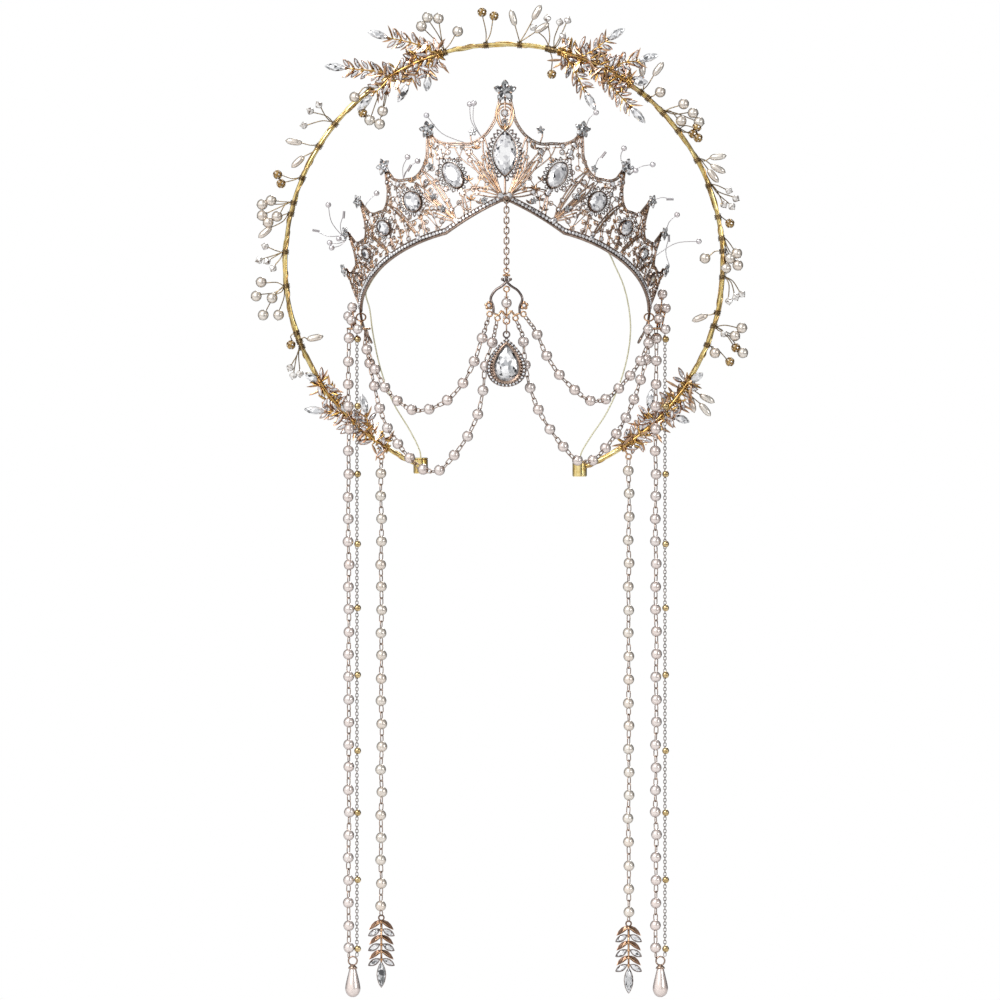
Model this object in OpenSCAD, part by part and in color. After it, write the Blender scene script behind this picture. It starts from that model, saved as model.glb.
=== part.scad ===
// Bridal head jewel: a pierced tiara with a forehead chain, pearl swags and side strands, and behind it
// a leaf and pearl halo ring that an elastic cord ties to the tiara. Millimetres, +Z up, front towards -Y.
// The origin is the centre of the tiara's rim circle, level with the rim's two side points.

/* [Tiara shell] */
// Radius of the rim circle
rim_r = 79; // [70:1:88]
// Lift of the rim plane at the front, in degrees
rim_tilt = 35; // [30:1:38]
// Outward flare of the crown above the rim, in degrees
flare = 20; // [15:1:24]
// Height of the rim strip
rim_h = 3.8; // [3:0.1:4.5]
// Thickness of the rim strip
rim_t = 1.7; // [1.4:0.1:2]
// Height of the rim's ogee peak above the forehead
ogee_h = 15.3; // [13:0.1:16]
// Angle at which each smooth arm ends
arm_end = 110; // [104:1:114]

/* [Lattice] */
// Width of an outline wire
edge_w = 1.3; // [1:0.1:1.6]
// Width of a petal wire
petal_w = 0.8; // [0.7:0.05:1.1]
// Depth of every lattice wire
wire_d = 1.2; // [1:0.1:1.5]
// Wall of a stone's bezel
bezel_w = 1.1; // [0.9:0.1:1.4]
// Reach of a bezel's claws
claw_l = 2; // [1:0.1:2.5]
// Gap left round each stone
seat_gap = 0.2; // [0.15:0.05:0.3]

/* [Centre stone] */
// Width of the centre marquise
marquise_w = 11.4; // [9:0.1:13]
// Length of the centre marquise
marquise_l = 22.7; // [20:0.1:25]
// Height of its centre above the rim circle
marquise_h = 43; // [42:0.5:44]

/* [Forehead drop] */
// Sideways place of the forehead drop
drop_x = 0.8; // [0:0.1:1.5]
// Plane of the forehead chain, in front of the origin
drop_y = -62.4; // [-63:0.1:-62.2]
// Length of a chain link
link_l = 4.6; // [4.5:0.1:4.7]
// Width of a chain link
link_w = 3.3; // [3.2:0.1:3.4]
// Wire of a chain link
link_wire = 0.75; // [0.7:0.05:0.75]

/* [Pendant] */
// Width of the pear pendant
pendant_w = 22; // [20:0.5:23]
// Height of the pear pendant
pendant_l = 26.4; // [24:0.2:27]
// Width of its stone
pear_w = 13.6; // [11:0.2:14]
// Height of its stone
pear_l = 20.2; // [17:0.2:20.6]

/* [Pearls] */
// Diameter of a round pearl
pearl_d = 6; // [5:0.1:6.4]
// Drilled hole
hole_d = 1.4; // [1.3:0.1:1.6]
// Thread or pin through the pearls
thread_d = 0.8; // [0.6:0.1:0.9]
// Pearls on each outer strand
outer_n = 28; // [20:1:28]
// Spacing of the outer pearls
outer_pitch = 12.42; // [11:0.01:12.42]
// Pearls on each inner strand
inner_n = 20; // [14:1:20]
// Spacing of the inner pearls on the left
inner_pitch = 12.59; // [11:0.01:12.6]
// How much wider the spacing is on the right
inner_slack = 0.25; // [0:0.01:0.26]

/* [Halo] */
// Radius of the halo ring's centre line
halo_r = 121; // [112:1:123]
// Height of the halo's centre
halo_z = 27.5; // [20:0.5:32]
// Plane of the halo, behind the origin
halo_y = 35; // [32:0.5:40]
// Thickness of the wound wire band
halo_d = 3.5; // [3:0.1:4]
// Length of an end cap
cap_l = 8.8; // [8:0.2:10]
// Diameter of an end cap
cap_d = 8; // [7:0.2:8.4]

/* [Elastic] */
// Diameter of the elastic cord
elastic_d = 0.8; // [0.8:0.1:1.1]

/* [Hidden] */

rose = "#c98f6b";
gold = "#c9a13a";
pearl = "#ede6df";
crystal = "#dfe3e8";

// One row for each bay of a side, from the front to the ear:
// valley angle and height, tip angle and height, stone angle and height, its width and length, its lean
// and the number of its claws
BAYS = [
    [15.3, 49.5, 24.7, 60.8, 18.5, 32.5, 9.6, 16.0, 25, 8],
    [35.7, 37.7, 42.9, 50.0, 35.5, 24.5, 9.6, 12.6, 30, 6],
    [50.8, 28.6, 58.1, 41.8, 51.0, 19.0, 7.2, 10.4, 35, 6],
    [64.4, 22.6, 71.1, 34.4, 65.0, 14.5, 5.2, 7.8, 35, 0],
    [77.0, 17.0, 84.5, 24.4, 78.0, 10.5, 4.0, 6.0, 35, 0]];
VALLEY_A = 0;
VALLEY_H = 1;
TIP_A = 2;
TIP_H = 3;
STONE_A = 4;
STONE_H = 5;
STONE_W = 6;
STONE_L = 7;
STONE_LEAN = 8;
CLAWS = 9;
CLAW_SECTION = [[0, 0.4], [0.4, -0.4], [-0.4, -0.4]];
centre_tip_h = 79;
ogee_a = 24;
ogee_power = 1.05;
// An outline's way from one tip down to the valley, as shares of the angle and of the drop
SCALLOP_IN = [[0.04, 0.93], [0.12, 0.62], [0.2, 0.36], [0.42, 0.1], [0.72, -0.03]];
// and its way from the valley up to the next tip
SCALLOP_OUT = [[0, 0], [0.5, 0.13], [0.85, 0.48], [1, 1]];
tip_cup_d = 6.5;
tip_stone_d = 4.6;
tip_lift = 2.1;
arm_h = rim_h * 0.6;
arm_t = rim_t * 0.8;
arm_mid = 1.3;

// Forehead chain: the peg below the rim's peak that it hangs on, and the clearance between links
peg_h = 1;
peg_d = 0.9;
play = 0.3;
link_n = 14;
link_pitch = link_l - 2 * link_wire - play;

// Chandelier: half of its outline from the top, and its rings as sideways place, height and radius
CHAND_SIDE = [[0, 15.5], [2.6, 13.2], [6.3, 10.6], [8.6, 6.4], [7.2, 2], [7.2, -1.6]];
CHAND_FOOT = [[7.2, -1.6], [4.4, -2.4], [2.6, -0.6], [1.2, -1.8], [0, -3.8]];
// and the eye that its last link passes through
eye_in = 1.05;
eye_wire = 0.7;
eye_play = 0.4;
CHAND_RINGS = [[0, 11.6, 1.5], [0, -5.8, 1.7], [-4.9, -4.2, 1.4], [4.9, -4.2, 1.4], [-9.2, -2, 1.4],
    [9.2, -2, 1.4]];
chand_wire = 0.9;
chand_t = 1;
chand_pearl_z = 4;
pin_end = -3.8;
flower_x = 9.6;
flower_z = 2.6;
petal_d = 1.9;
pivot_z = -11.5;
loop_r = 1.7;
loop_wire = 0.9;
pendant_link_w = 3.8;
pendant_t = 3.4;
pendant_top = -15.4;

// Side hangings: the discs that they hang from and the middle lines of the strands, left then right
DISC_X = [-80.5, 82.5];
disc_y = 4.5;
disc_d = 13;
disc_t = 1.2;
disc_top = -8.5;
OUTER_X = [-86, 83];
CHAIN_X = [-81.5, 88];
outer_y = 4;
outer_top = -14.5;
outer_ring_z = -357;
outer_ring_r = 2.4;
chain_d = 1.6;
drop_d = 8.4;
drop_l = 16.6;
drop_top = -360.4;
// Pearls of the end clusters, as x, y and z
CLUSTER_LEFT = [[-84, 1, 2.7], [-86.3, 6.8, -2.2], [-81, -4.2, -9.4], [-84.5, 2, -4.5]];
CLUSTER_RIGHT = [[86.6, 3, 10], [84.4, 7.5, 2.2], [88.5, 4, 2.2], [84.6, 0.5, -3.6], [88.3, -1.2, -9.4],
    [78.7, -3, -9.4]];
cluster_pearl_d = 5.5;

// Swags: way of the pearls from the side to the middle, as x and z
SWAG_LEFT_UPPER = [[-76, -20.5], [-65.5, -42], [-48.5, -54.5], [-28.5, -46.5], [-16.5, -27], [-12.5, -15]];
SWAG_LEFT_LOWER = [[-74.5, -28], [-65, -63], [-42, -88], [-25.5, -76], [-14, -54], [-10.5, -29], [-7, -17.5]];
SWAG_RIGHT_UPPER = [[79, -17], [75, -26], [62.5, -42], [48, -49.5], [28, -33], [17.5, -13]];
SWAG_RIGHT_LOWER = [[78, -26], [75, -36], [67, -57], [54, -76], [41, -82.5], [22, -61], [12.5, -38],
    [10, -17]];
upper_n = 10;
lower_n = 14;
upper_y = -1;
lower_y = 8;
swag_front_y = -55.5;
// Where the swags' threads leave the disc: inward from its middle, in depth, and below it
anchor_in = 4.2;
anchor_deep = 2.6;
anchor_low = 0.75;

// Inner strands and leaf drops
INNER_X = [-68.3, 68.3];
INNER_TOP = [-88.5, -87];
inner_loop_z = -79.5;
INNER_PITCH = [inner_pitch, inner_pitch + inner_slack];
leaf_drop_l = 40.5;

// Halo: its sideways place, and the angles of its end caps from the top
halo_x = -0.5;
CAP_A = [-157.6, 159.8];
// How far the band's end stays from the cap's middle, and how far the elastic goes in from above
cap_gap = 1.1;
elastic_in = 1.6;
front_lift = 3.3;
inner_y = halo_y - front_lift;
// Leaf branches: ring angle of the root, reach, turn away from the radius
BRANCHES_TOP_LEFT = [[-30, 39, -54], [-17, 42, -56], [-22, 27, -128], [-31, 27, -105], [-19.5, 19.5, -153]];
BRANCHES_TOP_RIGHT = [[20, 30, 38], [28, 30, 46], [23, 46, 115], [15.5, 37, 135], [34, 12, 58]];
BRANCHES_LOW_LEFT = [[-133.5, 23, 50], [-124, 12, 70], [-143, 25.5, 129], [-138, 18, 100]];
BRANCHES_LOW_RIGHT = [[124, 12, -70], [133, 15, -22], [140, 24, -130], [145, 18, -105]];
leaflet_pitch = 6;
leaflet_l = 5;
leaflet_w = 2;
leaflet_t = 1;
stem_w = 1.1;
spine_w = 1.6;
tip_crystal_l = 11;
// Sprays: ring angle of the root, then each bead as reach, turn away from the radius, diameter and length
SPRAYS_LEFT = [
    [-12, [[21, -16, 6.2, 6.2], [20.5, -36, 6, 6], [17, 6, 6, 6], [13.7, 42, 5.6, 5.6]]],
    [-50.6, [[17.5, -38, 4.5, 4.5], [15.8, -12, 4.5, 4.5], [14.3, 14, 4.5, 4.5]]],
    [-58, [[15.4, -24, 3.6, 8.5], [17, -64, 3.6, 8.5]]],
    [-66.9, [[14.4, -13, 6, 6], [12.4, -46, 6, 6]]],
    [-75, [[18, -3, 6, 6], [12, 20, 5.6, 5.6], [21, -24, 6, 6], [11.5, -52, 5.6, 5.6]]],
    [-87, [[12, 14, 4.5, 4.5], [15.9, -16, 4.5, 4.5], [11, -50, 4.5, 4.5]]],
    [-97.5, [[14.8, 20, 5.6, 5.6], [18.4, -6, 6.2, 6.2], [10.5, -40, 6, 6], [20.5, -32, 6, 6],
        [15.5, -66, 6, 6]]],
    [-113.5, [[7, 40, 5.6, 5.6], [14, -18, 4.5, 4.5], [14.6, -42, 4.5, 4.5]]]];
SPRAYS_RIGHT = [
    [9, [[21, 0, 6, 6], [12, -24, 3.6, 8.5], [17, 20, 4.5, 4.5]]],
    [41, [[13.1, -34, 3.6, 8.5], [15.9, 0, 3.6, 8.5]]],
    [48, [[11, -30, 6.2, 6.2], [13, 14, 6, 6], [17.6, 38, 5, 5], [10.5, 64, 6, 6]]],
    [61.6, [[12.7, -14, 3.6, 8.5], [15.5, 20, 3.6, 8.5], [12.5, 60, 3.6, 8.5]]],
    [70.5, [[12, 24, 4.5, 4.5], [17.1, 40, 4.5, 4.5], [12, 68, 4.5, 4.5]]],
    [78.5, [[10.1, 35, 5.6, 5.6]]],
    [86, [[13.5, 4, 6, 6], [10, 40, 6, 6], [17, 36, 6, 6]]],
    [96, [[13.5, 55, 4.5, 4.5], [14, 30, 4.5, 4.5], [14.8, 6, 4.5, 4.5]]],
    [106.5, [[13, -12, 6, 6], [11.5, 22, 6, 6], [19, 12, 6, 6]]],
    [115, [[9, 30, 5.6, 5.6], [17.1, 2, 6, 6]]]];
spray_wire = 0.9;
sleeve_d = 5.2;
sleeve_l = 3;
sleeve_gap = 0.12;

// Route of the elastic cord from the left end cap to the tiara, then as angle and height along the inside
// of the rim, and down to the right end cap
ELASTIC_LEFT = [[-46.6, 35, -81.6], [-46.6, 35, -79], [-47.2, 35, -76], [-49.6, 34.7, -70.5],
    [-54, 33, -62.5], [-62, 28, -49], [-68.5, 19.5, -31.5], [-72.5, 9, -13], [-74.4, -2, 1.5]];
ELASTIC_RIM = [[-80, 1.5], [-74, 1.5], [-66, 1.5], [-57, 1.5], [-48, 1.5], [-39, 1.5], [-30, 1.5], [-22, 2.6],
    [-15, 7], [-8, 11.5], [0, 15.5], [8, 11.5], [15, 7], [22, 2.6], [30, 1.5], [38, 1.5], [46, 1.5]];
ELASTIC_RIGHT = [[60.5, -34, 24], [65, -24, 14], [68, -12, 2], [69, 0, -11], [67.3, 12, -25],
    [63, 22.5, -40], [56, 30.5, -55.5], [48, 34.2, -67.5], [42.8, 35, -76], [41.4, 35, -80.5],
    [41.3, 35, -83.3]];
elastic_back = 2;

// Frame of the tiara's shell at an angle from the front
up = [0, sin(rim_tilt), cos(rim_tilt)];
function unit(v) = v / norm(v);
function out(a) = [sin(a), -cos(a) * cos(rim_tilt), cos(a) * sin(rim_tilt)];
function along(a) = [cos(a), sin(a) * cos(rim_tilt), -sin(a) * sin(rim_tilt)];
function rise(a) = up * cos(flare) + out(a) * sin(flare);
function face(a) = cross(along(a), rise(a));
function shell(p, lift = 0) = rim_r * out(p[0]) + p[1] * rise(p[0]) + lift * face(p[0]);
function ogee(a) = abs(a) < ogee_a ? ogee_h * pow(1 - abs(a) / ogee_a, ogee_power) : 0;

// Smooth curve through points, with n steps between each two
function blend4(a, b, c, d, u) =
    0.5 * (2 * b + (c - a) * u + (2 * a - 5 * b + 4 * c - d) * u * u + (3 * b - a - 3 * c + d) * u * u * u);
function curve(p, n) = [for (i = [0 : len(p) - 2]) for (k = [0 : n - 1])
    blend4(p[max(i - 1, 0)], p[i], p[i + 1], p[min(i + 2, len(p) - 1)], k / n), p[len(p) - 1]];
function mix(a, b, u) = a + (b - a) * u;
function sum_to(v, i) = i < 0 ? 0 : v[i] + sum_to(v, i - 1);

// Solid through rings of points; a closed one joins its last ring to its first
module skin(rings, closed = false) {
    n = len(rings);
    m = len(rings[0]);
    last = closed ? n - 1 : n - 2;
    sides = [for (k = [0 : last]) for (i = [0 : m - 1])
        let (j = (i + 1) % m, a = k * m, b = ((k + 1) % n) * m)
        each [[a + i, a + j, b + j], [a + i, b + j, b + i]]];
    caps = closed ? [] : [for (i = [1 : m - 2]) each
        [[0, i + 1, i], [(n - 1) * m, (n - 1) * m + i, (n - 1) * m + i + 1]]];
    polyhedron(points = [for (r = rings) each r], faces = concat(sides, caps));
}

function tangent(p, i) = unit(p[min(i + 1, len(p) - 1)] - p[max(i - 1, 0)]);

// Round tube along points
module tube(p, d, sides) {
    skin([for (i = [0 : len(p) - 1])
        let (t = tangent(p, i), s = unit(cross(t, [0.31, -0.92, 0.24])), w = cross(s, t))
        [for (k = [0 : sides - 1]) p[i] + d / 2 * (cos(360 * k / sides) * s + sin(360 * k / sides) * w)]]);
}

// Flat wire on the tiara's shell, through points of angle and height
module wire(p, w, d = wire_d) {
    q = [for (v = p) shell(v)];
    skin([for (i = [0 : len(p) - 1])
        let (f = face(p[i][0]), s = unit(cross(f, tangent(q, i))))
        [q[i] + w / 2 * s + d / 2 * f, q[i] + w / 2 * s - d / 2 * f,
            q[i] - w / 2 * s - d / 2 * f, q[i] - w / 2 * s + d / 2 * f]]);
}

// Slender petal of two wires from a to b; swell is its half width and bow bends it, both in degrees
module petal(a, b, swell, bow = 0) {
    for (side = [-1, 1])
        wire([mix(a, b, 0.02) + [side * swell * 0.2, 0], mix(a, b, 0.35) + [bow + side * swell, 0],
            mix(a, b, 0.75) + [bow + side * swell, 0], b], petal_w, wire_d + side * 0.06);
}

// Places children on the shell, with z along its outward normal and y up the crown
module on_shell(p, lean = 0, lift = 0) {
    e = along(p[0]);
    r = rise(p[0]);
    f = face(p[0]);
    o = shell(p, lift);
    multmatrix([[e[0], r[0], f[0], o[0]], [e[1], r[1], f[1], o[1]], [e[2], r[2], f[2], o[2]], [0, 0, 0, 1]])
        rotate([0, 0, -lean]) children();
}

// Outlines of stones as points: an oval, a marquise and a pear, in n steps
function oval(w, l, n) = [for (i = [0 : n - 1]) [w / 2 * sin(360 * i / n), l / 2 * cos(360 * i / n)]];
function marquise(w, l, n) = [for (i = [0 : n - 1]) let (a = 360 * i / n)
    [w / 2 * sign(sin(a)) * pow(abs(sin(a)), 1.25), l / 2 * sign(cos(a)) * (1 - pow(1 - abs(cos(a)), 1.15))]];
function pear(w, l, n) = [for (i = [0 : n - 1]) let (a = 360 * i / n)
    [w / 2 * sin(a) * pow(sin(a / 2 < 90 ? a / 2 : 180 - a / 2), 0.75) * 1.23, l / 2 * cos(a)]];

// Cut stone with a flat table above the girdle and a small culet below
module cut_stone(outline, height) {
    skin([for (s = [[0.2, -0.55], [1, -0.04], [1, 0.04], [0.62, 0.45]])
        [for (v = outline) [v[0] * s[0], v[1] * s[0], s[1] * height]]]);
}

// Bezel wall round an outline, with claws that point outward
module bezel(outline, claws, low = -1.5, high = 0.7) {
    n = len(outline);
    skin([for (i = [0 : n - 1]) let (p = outline[i], u = unit(p), a = p + seat_gap * u, b = a + bezel_w * u)
        [[a[0], a[1], high], [b[0], b[1], high], [b[0], b[1], low], [a[0], a[1], low]]], closed = true);
    for (k = [0 : claws - 1]) {
        p = outline[floor((k + 0.5) * n / claws)];
        u = unit(p);
        v = [-u[1], u[0]];
        skin([for (s = [seat_gap + bezel_w / 2, seat_gap + bezel_w + claw_l])
            [for (c = CLAW_SECTION) let (q = p + s * u + c[0] * v) [q[0], q[1], c[1]]]]);
    }
}

// Small round collet
module collet(p, d, h = 1.8) {
    on_shell(p) cylinder(h = h, d = d, center = true, $fn = 6);
}

// Bays of the tiara
function tip_before(k) = k == 0 ? [0.4, centre_tip_h] : [BAYS[k - 1][TIP_A], BAYS[k - 1][TIP_H]];
function rim_top(a) = ogee(a) + rim_h - 0.8;
function root_before(k) = let (a = k == 0 ? 2.5 : BAYS[k - 1][STONE_A] + 0.5) [a, rim_top(a) + 0.2];
function bay_scale(k) = BAYS[k][TIP_H] / BAYS[0][TIP_H];
function scallop_in(k) = let (b = BAYS[k], t = tip_before(k)) [for (s = SCALLOP_IN)
    [mix(t[0], b[VALLEY_A], s[0]), mix(b[VALLEY_H], t[1], s[1])]];
function scallop_out(k) = let (b = BAYS[k]) [for (s = SCALLOP_OUT)
    [mix(b[VALLEY_A], b[TIP_A], s[0]), mix(b[VALLEY_H], b[TIP_H], s[1])]];

module bay(k) {
    b = BAYS[k];
    f = bay_scale(k);
    stone = [b[STONE_A], b[STONE_H]];
    root = root_before(k);
    foot = stone - [b[STONE_L] * 0.16, b[STONE_L] / 2 + 2.2 * f];
    wire(concat(scallop_in(k), scallop_out(k)), edge_w, wire_d + 0.4);
    collet(root, 4.2 * f + 0.6, 2);
    petal(root, scallop_in(k)[3] + [0.3, 0], 0.9 * f, k == 0 ? 0.8 : -1.2 * f);
    if (k < 2) {
        petal(root, [b[VALLEY_A] - 3.2, b[VALLEY_H] - 4.5 * f], 1.1 * f, 0.9 * f);
        collet([b[VALLEY_A] - 3.2, b[VALLEY_H] - 5.2 * f], 3.6 * f + 0.4);
        petal(root, foot + [-3.4 * f, 0.6], 1.3 * f, 0);
        collet(foot + [-3.2 * f, 0.6], 3.4 * f + 0.6);
        wire([foot + [-3.4 * f, 0.6], foot + [0, 0.4]], petal_w, wire_d - 0.3);
    }
    wire([foot + [0.2, 2.2 * f - 0.5], foot, [foot[0] - 0.3, rim_top(foot[0] - 0.3)]], petal_w, wire_d - 0.2);
    if (k < 3)
        wire([foot + [-0.2, 0.6], [foot[0] - 2 * f, rim_top(foot[0] - 2 * f)]], petal_w, wire_d - 0.4);
    collet(foot, 3 * f + 0.6);
    collet([mix(stone[0], b[TIP_A], 0.55), mix(stone[1], b[TIP_H], 0.5)], 3.8 * f + 0.4);
    wire([[mix(stone[0], b[TIP_A], 0.42), mix(stone[1], b[TIP_H], 0.36)], [b[TIP_A], b[TIP_H]]], petal_w);
    on_shell(stone, b[STONE_LEAN]) bezel(oval(b[STONE_W], b[STONE_L], 8 + 2 * (k < 2 ? 1 : 0)), b[CLAWS]);
    tip_cup([b[TIP_A], b[TIP_H]]);
}

module tip_cup(p) {
    on_shell(p) hull() {
        translate([0, 0, -1.1]) cylinder(h = 0.4, d = tip_cup_d * 0.6, $fn = 6);
        translate([0, 0, 0.35]) cylinder(h = 0.4, d = tip_cup_d, $fn = 6);
    }
}

module tiara_frame() {
    peg = shell([0, ogee_h + peg_h]);
    rim_angles = [for (a = [-90 : 10 : -20]) a, for (a = [-15 : 5 : 15]) a, for (a = [20 : 10 : 90]) a];
    color(rose) {
        wire([for (a = rim_angles) [a, ogee(a) + rim_h / 2]], rim_h, rim_t);
        for (m = [0, 1]) mirror([m, 0, 0]) {
            wire([for (a = [88 : 5.5 : arm_end]) [a, arm_mid]], arm_h, arm_t);
            on_shell([arm_end, arm_mid]) difference() {
                cylinder(h = arm_t, d = 6, center = true, $fn = 10);
                cylinder(h = rim_t, d = 3, center = true, $fn = 6);
            }
            for (k = [0 : len(BAYS) - 1]) bay(k);
            wire([[84.5, 24.4], [86.5, 17], [88, 10], [88.5, 2]], edge_w);
            wire([[0, centre_tip_h], [0.6, 74], [2.4, 66], [0.5, 60]], petal_w);
        }
        on_shell([0, marquise_h]) bezel(marquise(marquise_w, marquise_l, 14), 12);
        wire([[0, ogee_h + rim_h - 1], [0, marquise_h - marquise_l / 2 - 0.8]], edge_w);
        wire([[0, marquise_h + marquise_l / 2 + 0.6], [0, centre_tip_h]], edge_w);
        collet([0, 66], 3.6);
        collet([0, 61.5], 3.6);
        tip_cup([0, centre_tip_h]);
        translate([drop_x, peg[1], peg[2]]) rotate([90, 0, 0]) {
            cylinder(h = peg[1] - drop_y + 1, d = peg_d, $fn = 8);
            translate([0, 0, peg[1] - drop_y + 0.8]) cylinder(h = 0.8, d = 2.2, $fn = 8);
        }
    }
}

module bay_stone(k, side) {
    b = BAYS[k];
    color(crystal) mirror([side < 0 ? 1 : 0, 0, 0]) on_shell([b[STONE_A], b[STONE_H]], b[STONE_LEAN])
        cut_stone(oval(b[STONE_W], b[STONE_L], 8 + 2 * (k < 2 ? 1 : 0)), b[STONE_W] * 0.5);
}

module centre_marquise() {
    color(crystal) on_shell([0, marquise_h]) cut_stone(marquise(marquise_w, marquise_l, 14), 4.6);
}

module tip_stones() {
    color(crystal) {
        for (m = [0, 1], b = BAYS) mirror([m, 0, 0]) on_shell([b[TIP_A], b[TIP_H]], 0, tip_lift)
            cut_stone(oval(tip_stone_d, tip_stone_d, 8), 2.2);
        on_shell([0, centre_tip_h], 0, tip_lift) cut_stone(oval(tip_stone_d, tip_stone_d, 8), 2.2);
    }
}

// Exact round bar between two points
module bar(a, b, d) {
    v = b - a;
    translate(a) rotate([0, acos(v[2] / norm(v)), atan2(v[1], v[0])]) cylinder(h = norm(v), d = d, $fn = 24);
}

// Ring lying in the front plane
module ring(r, wire) {
    rotate([90, 0, 0]) rotate_extrude($fn = 32) translate([r, 0]) circle(d = wire, $fn = 16);
}

// Flat stadium, and a flat chain link made from it
module stadium(l, w) {
    square([w, l - w], center = true);
    for (side = [-1, 1]) translate([0, side * (l - w) / 2]) circle(d = w, $fn = 24);
}

module link(l, w, t) {
    rotate([90, 0, 0]) linear_extrude(t, center = true) difference() {
        stadium(l, w);
        stadium(l - 2 * t, w - 2 * t);
    }
}

module forehead_chain() {
    peg_z = shell([0, ogee_h + peg_h])[2];
    first = peg_z + peg_d / 2 + play - link_l / 2 + link_wire;
    color(rose) for (i = [0 : link_n - 1])
        translate([drop_x, drop_y, first - i * link_pitch]) rotate([0, 0, 90 * (i % 2)])
            link(link_l, link_w, link_wire);
}

// Drawn line of flat wire through points
module stroke(p, w) {
    for (i = [0 : len(p) - 1]) translate(p[i]) circle(d = w * 1.12, $fn = 24);
    for (i = [0 : len(p) - 2]) let (v = p[i + 1] - p[i])
        translate(p[i]) rotate(atan2(v[1], v[0])) translate([0, -w / 2]) square([norm(v), w]);
}

module flower() {
    for (k = [0 : 4]) rotate(72 * k) translate([petal_d * 0.75, 0]) circle(d = petal_d, $fn = 24);
    circle(d = petal_d, $fn = 24);
}

module chandelier_frame() {
    peg_z = shell([0, ogee_h + peg_h])[2];
    last = peg_z + peg_d / 2 + play - link_l / 2 + link_wire - (link_n - 1) * link_pitch;
    eye_z = last - link_l / 2 + link_wire + eye_play - eye_in;
    eye_r = eye_in + eye_wire;
    color(rose) translate([drop_x, drop_y, 0]) {
        rotate([90, 0, 0]) linear_extrude(chand_t, center = true) {
            for (side = [0, 1]) mirror([side, 0]) {
                stroke(CHAND_SIDE, chand_wire);
                stroke(CHAND_FOOT, chand_wire);
                translate([flower_x, flower_z]) flower();
            }
            for (r = CHAND_RINGS) translate([r[0], r[1]]) difference() {
                circle(r = r[2] + chand_wire / 2, $fn = 24);
                circle(r = r[2] - chand_wire / 2, $fn = 24);
            }
            translate([0, eye_z]) difference() {
                circle(r = eye_r, $fn = 24);
                circle(r = eye_in, $fn = 24);
            }
            stroke([[0, CHAND_SIDE[0][1]], [0, eye_z - eye_r + 0.3]], chand_wire);
            translate([0, eye_z - eye_r - 0.8]) square([3.4, 1.1], center = true);
        }
        translate([0, 0, pin_end]) cylinder(h = CHAND_RINGS[0][1] - CHAND_RINGS[0][2] - pin_end, d = thread_d,
            $fn = 24);
    }
}

module pearl_bead(d = pearl_d) {
    difference() {
        sphere(d = d, $fn = 32);
        cylinder(h = d + 1, d = hole_d, center = true, $fn = 24);
    }
}

module chandelier_pearl() {
    color(pearl) translate([drop_x, drop_y, chand_pearl_z]) pearl_bead(5.7);
}

module pendant_link() {
    low = pivot_z - loop_wire / 2 - play;
    high = CHAND_RINGS[1][1] - CHAND_RINGS[1][2] + chand_wire / 2 + play;
    l = high - low + 2 * link_wire;
    color(rose) translate([drop_x, drop_y, (low + high) / 2]) rotate([0, 0, 90])
        link(l, pendant_link_w, link_wire);
}

module pendant_frame() {
    mid = pendant_top - pendant_l / 2;
    color(rose) translate([drop_x, drop_y, 0]) {
        translate([0, 0, mid]) rotate([90, 0, 0]) difference() {
            linear_extrude(pendant_t, center = true) polygon(pear(pendant_w, pendant_l, 24));
            translate([0, 0, -pendant_t / 2 + 1]) linear_extrude(pendant_t)
                polygon(pear(pear_w + 2 * seat_gap, pear_l + 2 * seat_gap, 24));
            linear_extrude(pendant_t + 1, center = true) polygon(pear(pear_w * 0.85, pear_l * 0.85, 24));
        }
        translate([0, 0, pivot_z - loop_r]) ring(loop_r, loop_wire);
        translate([0, 0, pendant_top]) cube([1.4, 1, 1.4], center = true);
    }
}

module pendant_stone() {
    color(crystal) translate([drop_x, drop_y, pendant_top - pendant_l / 2]) rotate([90, 0, 0])
        cut_stone(pear(pear_w, pear_l, 16), 3.2);
}

// Places along a swag's way: where its pearls sit, evenly spaced
function swag_y(x, way, back) = let (u = (x - way[0][0]) / (way[len(way) - 1][0] - way[0][0]))
    mix(back, swag_front_y, sin(90 * max(0, min(1, u))));
function swag_places(way, n, back) =
    let (q = [for (v = curve(way, 8)) [v[0], swag_y(v[0], way, back), v[1]]],
        steps = [for (j = [0 : len(q) - 1]) j == 0 ? 0 : norm(q[j] - q[j - 1])],
        run = [for (j = [0 : len(q) - 1]) sum_to(steps, j)])
    [for (i = [0 : n - 1]) let (s = run[len(run) - 1] * i / (n - 1)) [for (c = [0 : 2])
        lookup(s, [for (j = [0 : len(q) - 1]) [run[j], q[j][c]]])]];

// Thread from its anchor on the disc, straight through each pearl, to its ring on the chandelier
function thread_way(way, n, back, side, ring_at) =
    let (p = swag_places(way, n, back), b = [drop_x + ring_at[0], drop_y, ring_at[1]], r = pearl_d / 2,
        a = [DISC_X[side] + (side == 0 ? anchor_in : -anchor_in), disc_y + sign(back - outer_y) * anchor_deep,
            disc_top - disc_t - anchor_low],
        e = b + (ring_at[2] + chand_wire / 2 + anchor_low) * unit(p[n - 1] - b))
    concat([a], [for (i = [0 : n - 1]) let (t = tangent(p, i)) each [p[i] - t * r, p[i] + t * r]], [e]);

module swag_pearls(way, n, back) {
    p = swag_places(way, n, back);
    color(pearl) for (i = [0 : n - 1]) let (v = tangent(p, i))
        translate(p[i]) rotate([0, acos(v[2]), atan2(v[1], v[0])]) pearl_bead();
}

module swag_thread(way, n, back, side, ring_at) {
    color(rose) tube(thread_way(way, n, back, side, ring_at), thread_d, 6);
}

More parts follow.
